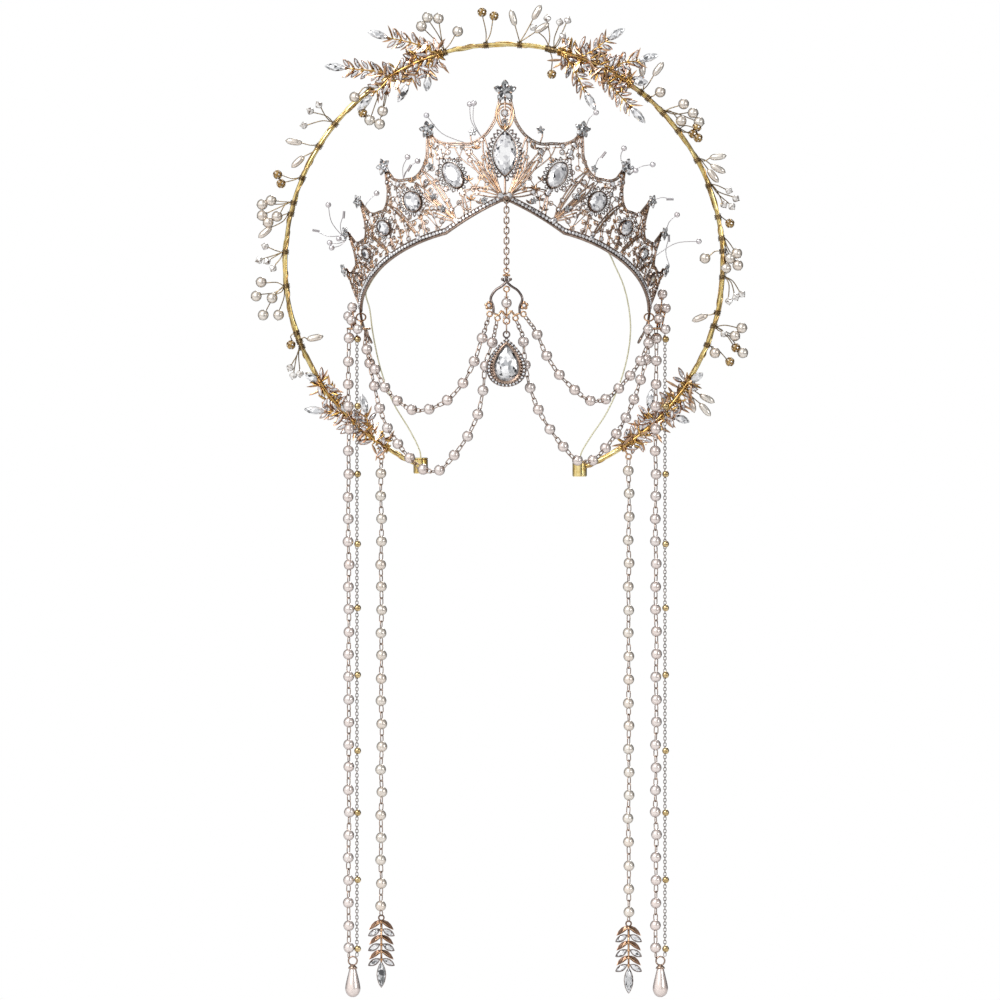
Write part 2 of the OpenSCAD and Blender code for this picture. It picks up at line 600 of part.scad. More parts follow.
// Disc and jump ring that all of a side's strands hang from, with the pearls fused round it
module end_cluster(side, pearls) {
    hook = shell([94, arm_mid]);
    x = side == 0 ? -hook[0] : hook[0];
    disc = [DISC_X[side], disc_y, disc_top - disc_t];
    color(pearl) {
        translate(disc) cylinder(h = disc_t, d = disc_d, $fn = 48);
        translate([x, hook[1], hook[2] - 0.6]) rotate([-rim_tilt, 0, 0]) ring(2.6, 0.9);
        bar([x, hook[1] - 1.5, hook[2] - 2.7], [x, hook[1] - 1.5, disc_top - 0.4], 1);
        for (p = pearls) {
            translate(p) rotate([0, -90, 0]) sphere(d = cluster_pearl_d, $fn = 32);
            bar(disc + [(p[0] - disc[0]) * 0.6, (p[1] - disc[1]) * 0.6, 0.4], p, 0.9);
        }
    }
}

module strand(x, y, top, n, pitch) {
    color(pearl) for (i = [0 : n - 1]) translate([x, y, top - i * pitch]) pearl_bead();
}

// Outer thread with the ring and cap of its pearl drop
module outer_thread(side) {
    x = (OUTER_X[side] + CHAIN_X[side]) / 2;
    start = disc_top - disc_t - 0.15;
    color(rose) {
        bar([OUTER_X[side], outer_y, outer_ring_z], [OUTER_X[side], outer_y, start], thread_d);
        translate([x, outer_y, outer_ring_z]) ring(outer_ring_r, 0.9);
        translate([x, outer_y, drop_top + 0.2]) cylinder(h = 0.9, d = 3.6, $fn = 32);
        translate([x, outer_y, drop_top - 2]) cylinder(h = 3, d = thread_d, $fn = 24);
    }
}

module fine_chain(side) {
    start = disc_top - disc_t - 0.15;
    end = outer_ring_z + 2.7;
    color(rose) tube([for (i = [0 : 9]) [CHAIN_X[side], outer_y, mix(start, end, i / 9)]], chain_d, 8);
}

module pearl_drop(side) {
    profile = [for (i = [0 : 10]) let (a = 18 * i)
        [drop_d / 2 * sin(a) * pow(sin(max(a / 2, 12)), 0.7) * 1.05, -drop_l * (1 - cos(a)) / 2]];
    color(pearl) translate([(OUTER_X[side] + CHAIN_X[side]) / 2, outer_y, drop_top]) difference() {
        rotate_extrude($fn = 32) polygon([for (p = profile) [max(0, p[0]), p[1]]]);
        translate([0, 0, -3]) cylinder(h = 4, d = hole_d, $fn = 24);
    }
}

module inner_thread(side) {
    color(rose) bar([INNER_X[side], inner_y, INNER_TOP[side] - (inner_n - 1) * INNER_PITCH[side] - 4.4],
        [INNER_X[side], inner_y, inner_loop_z - 2.1], thread_d);
}

// Outlines of a pointed leaf, from its foot along y, and of a small ring
module leaf(l, w) {
    polygon([[-0.35, -0.2], [0.35, -0.2], [w / 2, l * 0.45], [0, l], [-w / 2, l * 0.45]]);
}

module eyelet() {
    difference() {
        circle(r = 1.9, $fn = 24);
        circle(r = 1, $fn = 24);
    }
}

function leaf_drop_top(side) = INNER_TOP[side] - (inner_n - 1) * INNER_PITCH[side] - 4.6;

// Three pairs of slender leaves alternate with three pairs set with stones
module leaf_drop(side) {
    stem_end = leaf_drop_l - 14.4;
    color(rose) translate([INNER_X[side], inner_y, leaf_drop_top(side)]) rotate([90, 0, 0])
        linear_extrude(leaflet_t, center = true) {
            translate([0, -1.9]) eyelet();
            translate([-stem_w / 2, -stem_end]) square([stem_w, stem_end - 3.2]);
            for (k = [0 : 5], side = [-1, 1])
                translate([0, -4.6 - k * 3.9]) rotate(side * (k % 2 == 0 ? 112 : 118))
                    leaf(k % 2 == 0 ? 6.6 : 5.4, k % 2 == 0 ? 2.2 : 3);
        }
}

module leaf_drop_stone(side) {
    color(crystal) translate([INNER_X[side], inner_y, leaf_drop_top(side) - leaf_drop_l + 7.2])
        rotate([90, 0, 0]) cut_stone(marquise(5.4, 14, 8), 3);
}

// Place on the halo ring: x points outward, y along the ring away from its top on the right
module on_halo(a) {
    translate([halo_x, halo_y, halo_z]) multmatrix([[sin(a), cos(a), 0, halo_r * sin(a)], [0, 0, 1, 0],
        [cos(a), -sin(a), 0, halo_r * cos(a)], [0, 0, 0, 1]]) children();
}
cap_reach = asin(cap_gap / halo_r);

module halo_ring() {
    from = CAP_A[0] + cap_reach;
    to = CAP_A[1] - cap_reach;
    color(gold) translate([halo_x, halo_y, halo_z]) rotate([90, 0, 0])
        rotate_extrude(angle = to - from, start = 90 - to, $fn = 180) translate([halo_r, 0])
            circle(d = halo_d, $fn = 24);
}

// Upright cap that the band enters from the side and the elastic from above
module end_cap(side) {
    a = CAP_A[side];
    color(gold) translate([halo_x + halo_r * sin(a), halo_y, halo_z + halo_r * cos(a)]) difference() {
        cylinder(h = cap_l, d = cap_d, center = true, $fn = 48);
        rotate([0, side == 0 ? 90 + a : a - 90, 0]) translate([0, 0, cap_gap - 0.2])
            cylinder(h = cap_d, d = halo_d + 0.4, $fn = 32);
        translate([0, 0, cap_l / 2 - elastic_in - 0.3]) cylinder(h = cap_l, d = elastic_d + 0.5, $fn = 24);
    }
}

// Direction in the halo's plane at a turn away from the radius
function turned(turn) = [cos(turn), sin(turn)];
function ring_point(a, r = halo_r) = r * [sin(a), cos(a)];

// Outline of one branch of a leaf cluster: a stem, pairs of leaflets and a long leaf at the tip
module branch(root, reach, turn) {
    stem = max(reach - tip_crystal_l, 3);
    translate(ring_point(root)) rotate(-root - turn) {
        translate([-stem_w / 2, 0]) square([stem_w, stem + 1]);
        for (k = [0 : floor((stem - 4) / leaflet_pitch)], side = [-1, 1])
            translate([0, 4 + k * leaflet_pitch]) rotate(side * 48) leaf(leaflet_l, leaflet_w);
        translate([0, stem]) leaf(reach - stem, 3.4);
    }
}

// A leaf cluster: a flat spray of branches in front of the band, held on it by two sleeves
module leaf_cluster(branches, from, to, strand_side = -1) {
    color(rose) {
        translate([halo_x, inner_y, halo_z]) rotate([90, 0, 0]) linear_extrude(leaflet_t, center = true) {
            stroke([for (k = [0 : 7]) ring_point(mix(from, to, k / 7))], spine_w);
            for (b = branches) branch(b[0], b[1], b[2]);
            if (strand_side >= 0) strand_loop(strand_side, strand_side == 0 ? from : to);
        }
        for (a = [from, to]) on_halo(a) rotate([90, 0, 0]) difference() {
            cylinder(h = sleeve_l, d = sleeve_d + 1, center = true, $fn = 32);
            cylinder(h = sleeve_l + 1, d = halo_d + 0.6, center = true, $fn = 32);
        }
    }
}

// Outline of the loop that an inner strand hangs from, with its bar from the end of a spine
module strand_loop(side, a) {
    at = [INNER_X[side] - halo_x, inner_loop_z - halo_z];
    stroke([ring_point(a), at + 1.5 * unit(ring_point(a) - at)], stem_w);
    translate(at) eyelet();
}

// A spray of beads on fine wires, from a sleeve round the band
module spray(root, beads) {
    on_halo(root) {
        rotate([90, 0, 0]) difference() {
            cylinder(h = sleeve_l, d = sleeve_d, center = true, $fn = 32);
            cylinder(h = sleeve_l + 1, d = halo_d + 2 * sleeve_gap, center = true, $fn = 32);
        }
        for (b = beads) let (u = turned(b[1]), v = [u[0], u[1], 0], tip = v * b[0]) {
            bar([halo_d / 2 + 0.5, 0, 0], v * (b[0] - b[3] / 2 + 1.5), spray_wire);
            if (b[3] > b[2]) translate(tip) rotate(b[1] - 90) rotate([-90, 0, 0]) rice_bead(b[2], b[3]);
            else translate(tip) rotate(b[1] + 90) sphere(d = b[2], $fn = 32);
        }
    }
}

module rice_bead(d, l) {
    translate([0, 0, (d - l) / 2]) cylinder(h = l - d, d = d, $fn = 32);
    for (side = [-1, 1]) translate([0, 0, side * (l - d) / 2]) sphere(d = d * 1.001, $fn = 32);
}

module elastic_cord() {
    rim = [for (p = ELASTIC_RIM) shell([p[0], p[1]], -elastic_back)];
    color("#d8d4c8") tube(curve(concat(ELASTIC_LEFT, rim, ELASTIC_RIGHT), 2), elastic_d, 8);
}

tiara_frame();
centre_marquise();
bay_stone(0, -1);  // oval_stone_left_1
bay_stone(1, -1);  // oval_stone_left_2
bay_stone(2, -1);  // oval_stone_left_3
bay_stone(3, -1);  // oval_stone_left_4
bay_stone(4, -1);  // oval_stone_left_5
bay_stone(0, 1);  // oval_stone_right_1
bay_stone(1, 1);  // oval_stone_right_2
bay_stone(2, 1);  // oval_stone_right_3
bay_stone(3, 1);  // oval_stone_right_4
bay_stone(4, 1);  // oval_stone_right_5
tip_stones();
forehead_chain();
chandelier_frame();
chandelier_pearl();
pendant_link();
pendant_frame();
pendant_stone();
swag_pearls(SWAG_LEFT_UPPER, upper_n, upper_y);  // swag_pearls_left_upper
swag_pearls(SWAG_LEFT_LOWER, lower_n, lower_y);  // swag_pearls_left_lower
swag_pearls(SWAG_RIGHT_UPPER, upper_n, upper_y);  // swag_pearls_right_upper
swag_pearls(SWAG_RIGHT_LOWER, lower_n, lower_y);  // swag_pearls_right_lower
swag_thread(SWAG_LEFT_UPPER, upper_n, upper_y, 0, CHAND_RINGS[4]);  // swag_thread_left_upper
swag_thread(SWAG_LEFT_LOWER, lower_n, lower_y, 0, CHAND_RINGS[2]);  // swag_thread_left_lower
swag_thread(SWAG_RIGHT_UPPER, upper_n, upper_y, 1, CHAND_RINGS[5]);  // swag_thread_right_upper
swag_thread(SWAG_RIGHT_LOWER, lower_n, lower_y, 1, CHAND_RINGS[3]);  // swag_thread_right_lower
end_cluster(0, CLUSTER_LEFT);  // end_cluster_left
end_cluster(1, CLUSTER_RIGHT);  // end_cluster_right
strand(OUTER_X[0], outer_y, outer_top, outer_n, outer_pitch);  // outer_pearls_left
strand(OUTER_X[1], outer_y, outer_top, outer_n, outer_pitch);  // outer_pearls_right
outer_thread(0);  // outer_thread_left
outer_thread(1);  // outer_thread_right
fine_chain(0);  // fine_chain_left
fine_chain(1);  // fine_chain_right
pearl_drop(0);  // pearl_drop_left
pearl_drop(1);  // pearl_drop_right
halo_ring();
end_cap(0);  // end_cap_left
end_cap(1);  // end_cap_right
leaf_cluster(BRANCHES_TOP_LEFT, -34, -17);  // leaf_cluster_top_left
leaf_cluster(BRANCHES_TOP_RIGHT, 15, 35);  // leaf_cluster_top_right
leaf_cluster(BRANCHES_LOW_LEFT, -147.5, -122, 0);  // leaf_cluster_low_left
leaf_cluster(BRANCHES_LOW_RIGHT, 122, 147, 1);  // leaf_cluster_low_right
color(pearl) for (s = SPRAYS_LEFT) spray(s[0], s[1]);  // halo_sprays_left
color(pearl) for (s = SPRAYS_RIGHT) spray(s[0], s[1]);  // halo_sprays_right
strand(INNER_X[0], inner_y, INNER_TOP[0], inner_n, INNER_PITCH[0]);  // inner_pearls_left
strand(INNER_X[1], inner_y, INNER_TOP[1], inner_n, INNER_PITCH[1]);  // inner_pearls_right
inner_thread(0);  // inner_thread_left
inner_thread(1);  // inner_thread_right
leaf_drop(0);  // leaf_drop_left
leaf_drop(1);  // leaf_drop_right
leaf_drop_stone(0);  // leaf_drop_stone_left
leaf_drop_stone(1);  // leaf_drop_stone_right
elastic_cord();
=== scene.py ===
import random
from math import atan2, copysign, cos, degrees, pi, radians, sin

import bmesh
import bpy
import numpy as np
from mathutils import Matrix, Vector
from numpy.linalg import norm


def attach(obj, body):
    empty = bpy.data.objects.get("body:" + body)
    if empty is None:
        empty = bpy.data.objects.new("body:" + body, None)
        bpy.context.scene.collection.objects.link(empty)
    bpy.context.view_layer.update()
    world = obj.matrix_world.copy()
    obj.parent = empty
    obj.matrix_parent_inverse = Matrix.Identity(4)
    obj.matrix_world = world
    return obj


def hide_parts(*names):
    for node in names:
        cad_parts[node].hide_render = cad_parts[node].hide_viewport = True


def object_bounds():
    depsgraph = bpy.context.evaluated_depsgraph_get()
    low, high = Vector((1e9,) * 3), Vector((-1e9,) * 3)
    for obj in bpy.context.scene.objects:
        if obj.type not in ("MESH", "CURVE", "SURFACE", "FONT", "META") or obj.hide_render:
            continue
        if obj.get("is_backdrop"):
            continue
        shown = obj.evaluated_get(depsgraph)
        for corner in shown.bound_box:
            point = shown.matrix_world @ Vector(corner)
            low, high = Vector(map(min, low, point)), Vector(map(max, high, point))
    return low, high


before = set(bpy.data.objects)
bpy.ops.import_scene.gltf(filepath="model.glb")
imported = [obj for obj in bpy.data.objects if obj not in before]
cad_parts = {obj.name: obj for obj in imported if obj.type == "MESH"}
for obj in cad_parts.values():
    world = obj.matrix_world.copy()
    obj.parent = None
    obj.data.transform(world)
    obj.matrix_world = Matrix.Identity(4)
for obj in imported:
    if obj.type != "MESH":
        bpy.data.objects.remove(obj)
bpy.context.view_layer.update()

rng = random.Random(7)
draw = rng.uniform
MM = 0.001
TURN = 2 * pi
FRONT = (0, -1, 0)
LABELS = ("left", "right")

# Sizes and places below are in millimetres, in the part's own frame, and repeat those of its source.
# The crown's shell: the rim's radius and tilt, the flare, and the radius that each millimetre of height adds
RIM_R, TILT, FLARE, WIDENING = 79, radians(35), radians(20), 0.34
RIM_H = 3.8
OGEE_H, OGEE_A, OGEE_POWER = 15.3, 24, 1.05
ARM_END, ARM_MID, EYE_R = 110, 1.3, 2.25
# Bays of the crown from its centre outward: angle round the rim and height up the shell of the valley, of the
# tip and of the stone, then the stone's width, length and lean
BAYS = [
    (15.3, 49.5, 24.7, 60.8, 18.5, 32.5, 9.6, 16.0, 25),
    (35.7, 37.7, 42.9, 50.0, 35.5, 24.5, 9.6, 12.6, 30),
    (50.8, 28.6, 58.1, 41.8, 51.0, 19.0, 7.2, 10.4, 35),
    (64.4, 22.6, 71.1, 34.4, 65.0, 14.5, 5.2, 7.8, 35),
    (77.0, 17.0, 84.5, 24.4, 78.0, 10.5, 4.0, 6.0, 35),
]
CENTRE_TIP = 79
SCALLOP_IN = [(0.04, 0.93), (0.12, 0.62), (0.2, 0.36), (0.42, 0.1), (0.72, -0.03)]
SCALLOP_OUT = [(0, 0), (0.5, 0.13), (0.85, 0.48), (1, 1)]
MARQUISE_H, MARQUISE_W, MARQUISE_L = 41.8, 12.8, 25
DROP_X, DROP_Y = 0.8, -62.4
HALO = np.array([-0.5, 35.0, 27.5])
HALO_R = 121
LEAF_Y = 31.7


def unit(v):
    return v / norm(v)


def vec(*c):
    return np.array(c, float)


def mix(a, b, u):
    return a + (b - a) * u


def distances(p):
    """Distance along a line of points, at each of them."""
    return np.concatenate([[0], np.cumsum([norm(b - a) for a, b in zip(p, p[1:])])])


def directions(p):
    """Direction of a line of points, at each of them."""
    return [unit(p[min(i + 1, len(p) - 1)] - p[max(i - 1, 0)]) for i in range(len(p))]


def circle(n, start=0.0):
    """Cosine and sine at n even steps round a circle."""
    return [(cos(TURN * (i + start) / n), sin(TURN * (i + start) / n)) for i in range(n)]


def curve(p, n):
    """Smooth curve through points, with n steps between each two, as the source has it."""
    p = [vec(*v) for v in p]
    made = []
    for i in range(len(p) - 1):
        a, b, c, d = p[max(i - 1, 0)], p[i], p[i + 1], p[min(i + 2, len(p) - 1)]
        for k in range(n):
            u = k / n
            made.append(0.5 * (2 * b + (c - a) * u + (2 * a - 5 * b + 4 * c - d) * u * u
                               + (3 * b - a - 3 * c + d) * u ** 3))
    return made + [p[-1]]


def spaced(p, step, ends=0.0):
    """Points at an even spacing along a line of points, with the line's direction at each."""
    run = distances(p)
    n = max(1, round((run[-1] - 2 * ends) / step))
    made = []
    for k in range(n + 1):
        s = ends + (run[-1] - 2 * ends) * k / n
        i = min(max(int(np.searchsorted(run, s)) - 1, 0), len(p) - 2)
        u = (s - run[i]) / (run[i + 1] - run[i])
        made.append((mix(p[i], p[i + 1], u), unit(p[i + 1] - p[i])))
    return made


def place(o, z, x=(1, 0, 0)):
    """Matrix that puts z along a direction, with x near another."""
    z, x = unit(vec(*z)), vec(*x)
    x = x - z * np.dot(x, z)
    if norm(x) < 1e-3:
        x = np.cross(z, (0.3, 0.9, 0.1))
    x = unit(x)
    m = np.eye(4)
    m[:3] = np.column_stack([x, np.cross(z, x), z, o])
    return m


def upright(p):
    m = np.eye(4)
    m[:3, 3] = p
    return m


def shifted(m, x=0.0, y=0.0, z=0.0, turn=0.0):
    """The same place moved along its own axes and turned about its z."""
    c, s = cos(radians(turn)), sin(radians(turn))
    return m @ np.array([[c, -s, 0, x], [s, c, 0, y], [0, 0, 1, z], [0, 0, 0, 1]])


# The crown's shell, by degrees round the rim and height up from it

UP = vec(0, sin(TILT), cos(TILT))


def out(a):
    a = radians(a)
    return vec(sin(a), -cos(a) * cos(TILT), cos(a) * sin(TILT))


def along(a):
    a = radians(a)
    return vec(cos(a), sin(a) * cos(TILT), -sin(a) * sin(TILT))


def rise(a):
    return UP * cos(FLARE) + out(a) * sin(FLARE)


def face(a):
    return np.cross(along(a), rise(a))


def shell(a, h, lift=0.0):
    return RIM_R * out(a) + h * rise(a) + lift * face(a)


def shell_radius(h):
    return RIM_R + WIDENING * h


def on_shell(a, h, lean=0, lift=0.0):
    m = np.eye(4)
    m[:3] = np.column_stack([along(a), rise(a), face(a), shell(a, h, lift)])
    return shifted(m, turn=-lean)


def ogee(a):
    return OGEE_H * (1 - abs(a) / OGEE_A) ** OGEE_POWER if abs(a) < OGEE_A else 0


def rim_top(a):
    return ogee(a) + RIM_H - 0.8


# Shapes, each as points and faces


def skin(rings, closed=False):
    """Surface over rings of points, with flat ends unless the last ring joins the first."""
    m, n = len(rings[0]), len(rings)
    f = []
    for k in range(n if closed else n - 1):
        for i in range(m):
            far, j = (k + 1) % n * m, (i + 1) % m
            f.append((k * m + i, k * m + j, far + j, far + i))
    if not closed:
        f += [tuple(range(m - 1, -1, -1)), tuple(range((n - 1) * m, n * m))]
    return np.vstack(rings), f


def tube(p, d, sides=6, taper=1.0):
    """Round wire along points; it thins to taper times its thickness at the far end."""
    p = [vec(*v) for v in p]
    t = directions(p)
    s = np.cross(t[0], (0.31, -0.92, 0.24))
    if norm(s) < 0.05:
        s = np.cross(t[0], (1, 0, 0))
    s = unit(s)
    rings = []
    for i, (at, way) in enumerate(zip(p, t)):
        s = unit(s - way * np.dot(s, way))
        w = np.cross(way, s)
        r = d / 2 * mix(1, taper, i / (len(p) - 1))
        rings.append([at + r * (x * s + y * w) for x, y in circle(sides)])
    return skin(rings)


def ball(n=12, m=8):
    v = [(0, 0, -1)]
    for j in range(1, m):
        a = pi * j / m - pi / 2
        v += [(cos(a) * x, cos(a) * y, sin(a)) for x, y in circle(n)]
    f = [(0, 1 + (i + 1) % n, 1 + i) for i in range(n)]
    for j in range(m - 2):
        for i in range(n):
            a, b = 1 + j * n + i, 1 + j * n + (i + 1) % n
            f.append((a, b, b + n, a + n))
    last = 1 + (m - 2) * n
    f += [(last + i, last + (i + 1) % n, len(v)) for i in range(n)]
    return np.array(v + [(0, 0, 1)]), f


def lathe(profile, n=16):
    """Round solid about z from pairs of radius and height, which start and end near the axis."""
    return skin([[(r * x, r * y, z) for x, y in circle(n)] for r, z in profile])


def link(l, w, wire, n=12, m=5, start=0.5):
    """Chain link in the xz plane, l long along z and w wide."""
    r, half = (w - wire) / 2, (l - w) / 2
    rings = []
    for z, x in circle(n, start):
        middle = vec(r * x, 0, r * z + copysign(half, z))
        rings.append([middle + wire / 2 * (c * vec(x, 0, z) + s * vec(0, 1, 0)) for c, s in circle(m)])
    return skin(rings, closed=True)


def torus(r, wire, n=20, m=6):
    return link(2 * r + wire, 2 * r + wire, wire, n, m, 0)


def hull(points):
    """Convex solid round points."""
    b = bmesh.new()
    for p in points:
        b.verts.new(p)
    made = bmesh.ops.convex_hull(b, input=b.verts)
    loose = [e for e in made["geom_interior"] + made["geom_unused"] if isinstance(e, bmesh.types.BMVert)]
    bmesh.ops.delete(b, geom=list(set(loose)), context="VERTS")
    bmesh.ops.dissolve_limit(b, angle_limit=0.01, verts=b.verts, edges=b.edges)
    bmesh.ops.recalc_face_normals(b, faces=b.faces)
    b.verts.index_update()
    shape = (np.array([v.co[:] for v in b.verts]), [tuple(v.index for v in f.verts) for f in b.faces])
    b.free()
    return shape


# Outlines, w wide and l long, as points at an angle from the top


def oval(w, l, a):
    return w / 2 * sin(a), l / 2 * cos(a)


def marquise(w, l, a):
    return copysign(w / 2 * abs(sin(a)) ** 1.65, sin(a)), l / 2 * cos(a)


def pear(w, l, a):
    half = a / 2 if a < pi else pi - a / 2
    return w / 2 * sin(a) * sin(half) ** 0.75 * 1.23, l / 2 * cos(a)


def outlined(outline, w, l, n, start=0.0):
    """Points round an outline at z = 0."""
    return [vec(*outline(w, l, TURN * (i + start) / n), 0) for i in range(n)]


def bezel(outline, w, l, n, section):
    """Wall along an outline; its section is pairs of distance outward and height."""
    edge = outlined(outline, w, l, n)
    return skin([[p + gap * unit(p) + (0, 0, z) for gap, z in section] for p in edge], closed=True)


def brilliant(outline, w, l, n, crown, depth):
    """Cut stone with a table, crown and pavilion facets, its girdle at z = 0."""
    rings = [(0.56, crown, 0, n), (0.83, crown * 0.62, 0.5, n), (1, crown * 0.12, 0, 2 * n),
             (1, -crown * 0.08, 0, 2 * n), (0.62, -depth * 0.55, 0.5, n), (0.1, -depth, 0, n)]
    return hull([p * scale + (0, 0, z) for scale, z, start, count in rings
                 for p in outlined(outline, w, l, count, start)])


def leaf(l, w, t=0.5, bend=0.0):
    """Pointed leaf along y with a raised midrib; bend lifts its tip."""
    rings = []
    for u in (0, 0.2, 0.45, 0.72, 0.92, 1):
        half = w / 2 * sin(pi * min(1, u * 0.92 + 0.08)) ** 0.8 + 0.03
        y, z, rib = l * u, bend * u * u, t * (1 - 0.75 * u)
        rings.append([(-half, y, z), (-half * 0.5, y, z - rib * 0.2), (0, y, z - rib * 0.5), (half, y, z),
                      (0, y, z + rib * 0.6)])
    return skin(rings)


BALL, BALL_FINE, BEAD, STUD = ball(), ball(24, 14), ball(8, 5), ball(6, 4)
ROUND_STONE = brilliant(oval, 2, 2, 6, 0.62, 0.7)
PETAL_STONE = brilliant(marquise, 2, 2.9, 5, 0.6, 0.5)
CUP = lathe([(0.3, -0.75), (0.62, -0.7), (1.12, 0.0), (1.12, 0.16), (0.95, 0.16), (0.9, -0.1),
             (0.3, -0.3)], 8)
CLAW = tube([(0.74 * cos(v), 0.74 * sin(v), 0) for v in np.radians(np.linspace(-150, 150, 8))], 0.56, 5)


class Bag:
    """Gathers the parts of one piece."""

    def __init__(self):
        self.verts, self.faces, self.count = [], [], 0

    def add(self, shape, m=None, scale=1.0):
        v, f = shape
        v = v * scale
        if m is not None:
            v = v @ m[:3, :3].T + m[:3, 3]
        self.verts.append(v)
        self.faces += [tuple(i + self.count for i in q) for q in f]
        self.count += len(v)


def bags(n):
    return [Bag() for _ in range(n)]


def set_stone(metal_bag, stone_bag, m, d):
    """Round stone of diameter d in its cup, with four small claws."""
    stone_bag.add(ROUND_STONE, m, d / 2)
    metal_bag.add(CUP, m, d / 2)
    for x, y in circle(4, 0.5):
        metal_bag.add(STUD, shifted(m, d * 0.5 * x, d * 0.5 * y, d * 0.12), d * 0.13)


# Materials, each with the slot name that it stands for

SLOTS = {}


def shader(name, slot=None, **sockets):
    m = bpy.data.materials.new(name)
    m.use_nodes = True
    b = m.node_tree.nodes["Principled BSDF"]
    for key, value in sockets.items():
        b.inputs[key.replace("_", " ")].default_value = value
    SLOTS[m.name] = slot
    return m, m.node_tree, b


def feed(b, key, socket):
    b.id_data.links.new(socket, b.inputs[key])


def node(tree, kind, links=(), **settings):
    """Node with inputs set or linked by name; settings are its own properties."""
    made = tree.nodes.new("ShaderNode" + kind)
    for key, value in settings.items():
        setattr(made, key, value)
    for key, value in links:
        if isinstance(value, bpy.types.NodeSocket):
            tree.links.new(value, made.inputs[key])
        else:
            made.inputs[key].default_value = value
    return made


def ramp(tree, source, stops):
    made = node(tree, "ValToRGB", [("Fac", source)])
    line = made.color_ramp.elements
    for i, (at, colour) in enumerate(stops):
        e = line[i] if i < 2 else line.new(at)
        e.position, e.color = at, (*colour, 1)
    return made.outputs["Color"]


def product(tree, a, b):
    return node(tree, "Mix", [(0, 1.0), (6, a), (7, b)], data_type="RGBA", blend_type="MULTIPLY").outputs[2]


def place_in(tree):
    return node(tree, "TexCoord").outputs["Object"]


def speckle(tree, scale, detail=2.0):
    at = place_in(tree)
    return node(tree, "TexNoise", [("Vector", at), ("Scale", scale), ("Detail", detail)]).outputs["Fac"]


def bumped(tree, b, height, strength):
    bump = node(tree, "Bump", [("Height", height), ("Strength", strength), ("Distance", 0.0002)])
    feed(b, "Normal", bump.outputs["Normal"])


def metal(name, dark, light, painted_recess_shade, rough, slot="rose_gold"):
    """Metal between two tones, with painted shade darkening its hollows, and unevenly polished."""
    m, tree, b = shader(name, slot, Metallic=1.0)
    grain = speckle(tree, 320, 4)
    # painted shade: ambient occlusion pulls the colour toward the shade tone in hollows and between parts
    near = node(tree, "AmbientOcclusion", [("Distance", 0.0022)], samples=5).outputs["AO"]
    tone = product(tree, ramp(tree, grain, [(0.32, dark), (0.68, light)]),
                   ramp(tree, near, [(0.3, painted_recess_shade), (0.85, (1, 1, 1))]))
    feed(b, "Base Color", tone)
    wear = speckle(tree, 900, 3)
    worn = node(tree, "MapRange", [("Value", wear), ("To Min", rough[0]), ("To Max", rough[1])])
    feed(b, "Roughness", worn.outputs["Result"])
    bumped(tree, b, grain, 0.12)
    return m


def stone(name, dark, middle, light, more=0.0):
    """Foil-backed cut glass: each facet, and each facet seen in its depth, takes its own painted reflection
    tone.
    """
    m, tree, b = shader(name, "crystal", Metallic=0.25, Roughness=0.04, IOR=1.9, Coat_Weight=0.8,
                        Coat_Roughness=0.02)
    turn = node(tree, "NewGeometry").outputs["True Normal"]
    depth = node(tree, "TexVoronoi", [("Vector", place_in(tree)), ("Scale", 430.0)]).outputs["Color"]
    both = node(tree, "VectorMath", [(0, turn), (1, depth)], operation="ADD").outputs["Vector"]
    # painted reflection: the facet's normal and a cell pattern choose a dark, middle or light tone
    painted_facet_reflection = node(tree, "TexNoise", [("Vector", both), ("Scale", 3.7), ("Detail", 3.0)]).outputs["Fac"]
    tones = ramp(tree, painted_facet_reflection, [(0.38 + more, dark), (0.56 + more, light), (0.44 + more, middle)])
    feed(b, "Base Color", tones)
    return m


def pearly(name, middle, edge, low):
    m, tree, b = shader(name, "pearl", Roughness=0.22, Metallic=0.6, IOR=1.6, Coat_Weight=0.7,
                        Coat_Roughness=0.06)
    # painted shade: the tone goes from middle through edge to outermost as the surface turns away from the
    # view
    side = node(tree, "LayerWeight", [("Blend", 0.45)]).outputs["Facing"]
    body = ramp(tree, side, [(0.15, middle), (0.85, low), (0.58, edge)])
    cloud = ramp(tree, speckle(tree, 55), [(0.35, (1, 0.94, 0.91)), (0.65, (1, 1, 1))])
    feed(b, "Base Color", product(tree, body, cloud))
    return m


# Metals by dark and light tone, tone of the painted shade in their hollows, and least and most roughness
ROSE = metal("rose_gold", (0.30, 0.20, 0.15), (0.60, 0.45, 0.36), (0.14, 0.08, 0.06), (0.12, 0.26))
BROWN = metal("brown_rose_gold", (0.20, 0.14, 0.11), (0.44, 0.33, 0.27), (0.18, 0.1, 0.06), (0.2, 0.34))
STEELY = metal("pale_rose_gold", (0.24, 0.21, 0.19), (0.48, 0.43, 0.40), (0.2, 0.15, 0.13), (0.16, 0.3))
DUSKY = metal("dark_rose_gold", (0.13, 0.10, 0.09), (0.34, 0.28, 0.26), (0.12, 0.08, 0.07), (0.12, 0.26))
PINK = metal("pink_gold", (0.42, 0.24, 0.16), (0.80, 0.56, 0.42), (0.2, 0.08, 0.04), (0.12, 0.26))
COPPER = metal("copper_gold", (0.46, 0.25, 0.13), (0.80, 0.54, 0.35), (0.2, 0.08, 0.03), (0.12, 0.26))
UMBER = metal("brown_gold", (0.15, 0.085, 0.055), (0.42, 0.26, 0.18), (0.12, 0.06, 0.04), (0.16, 0.3))
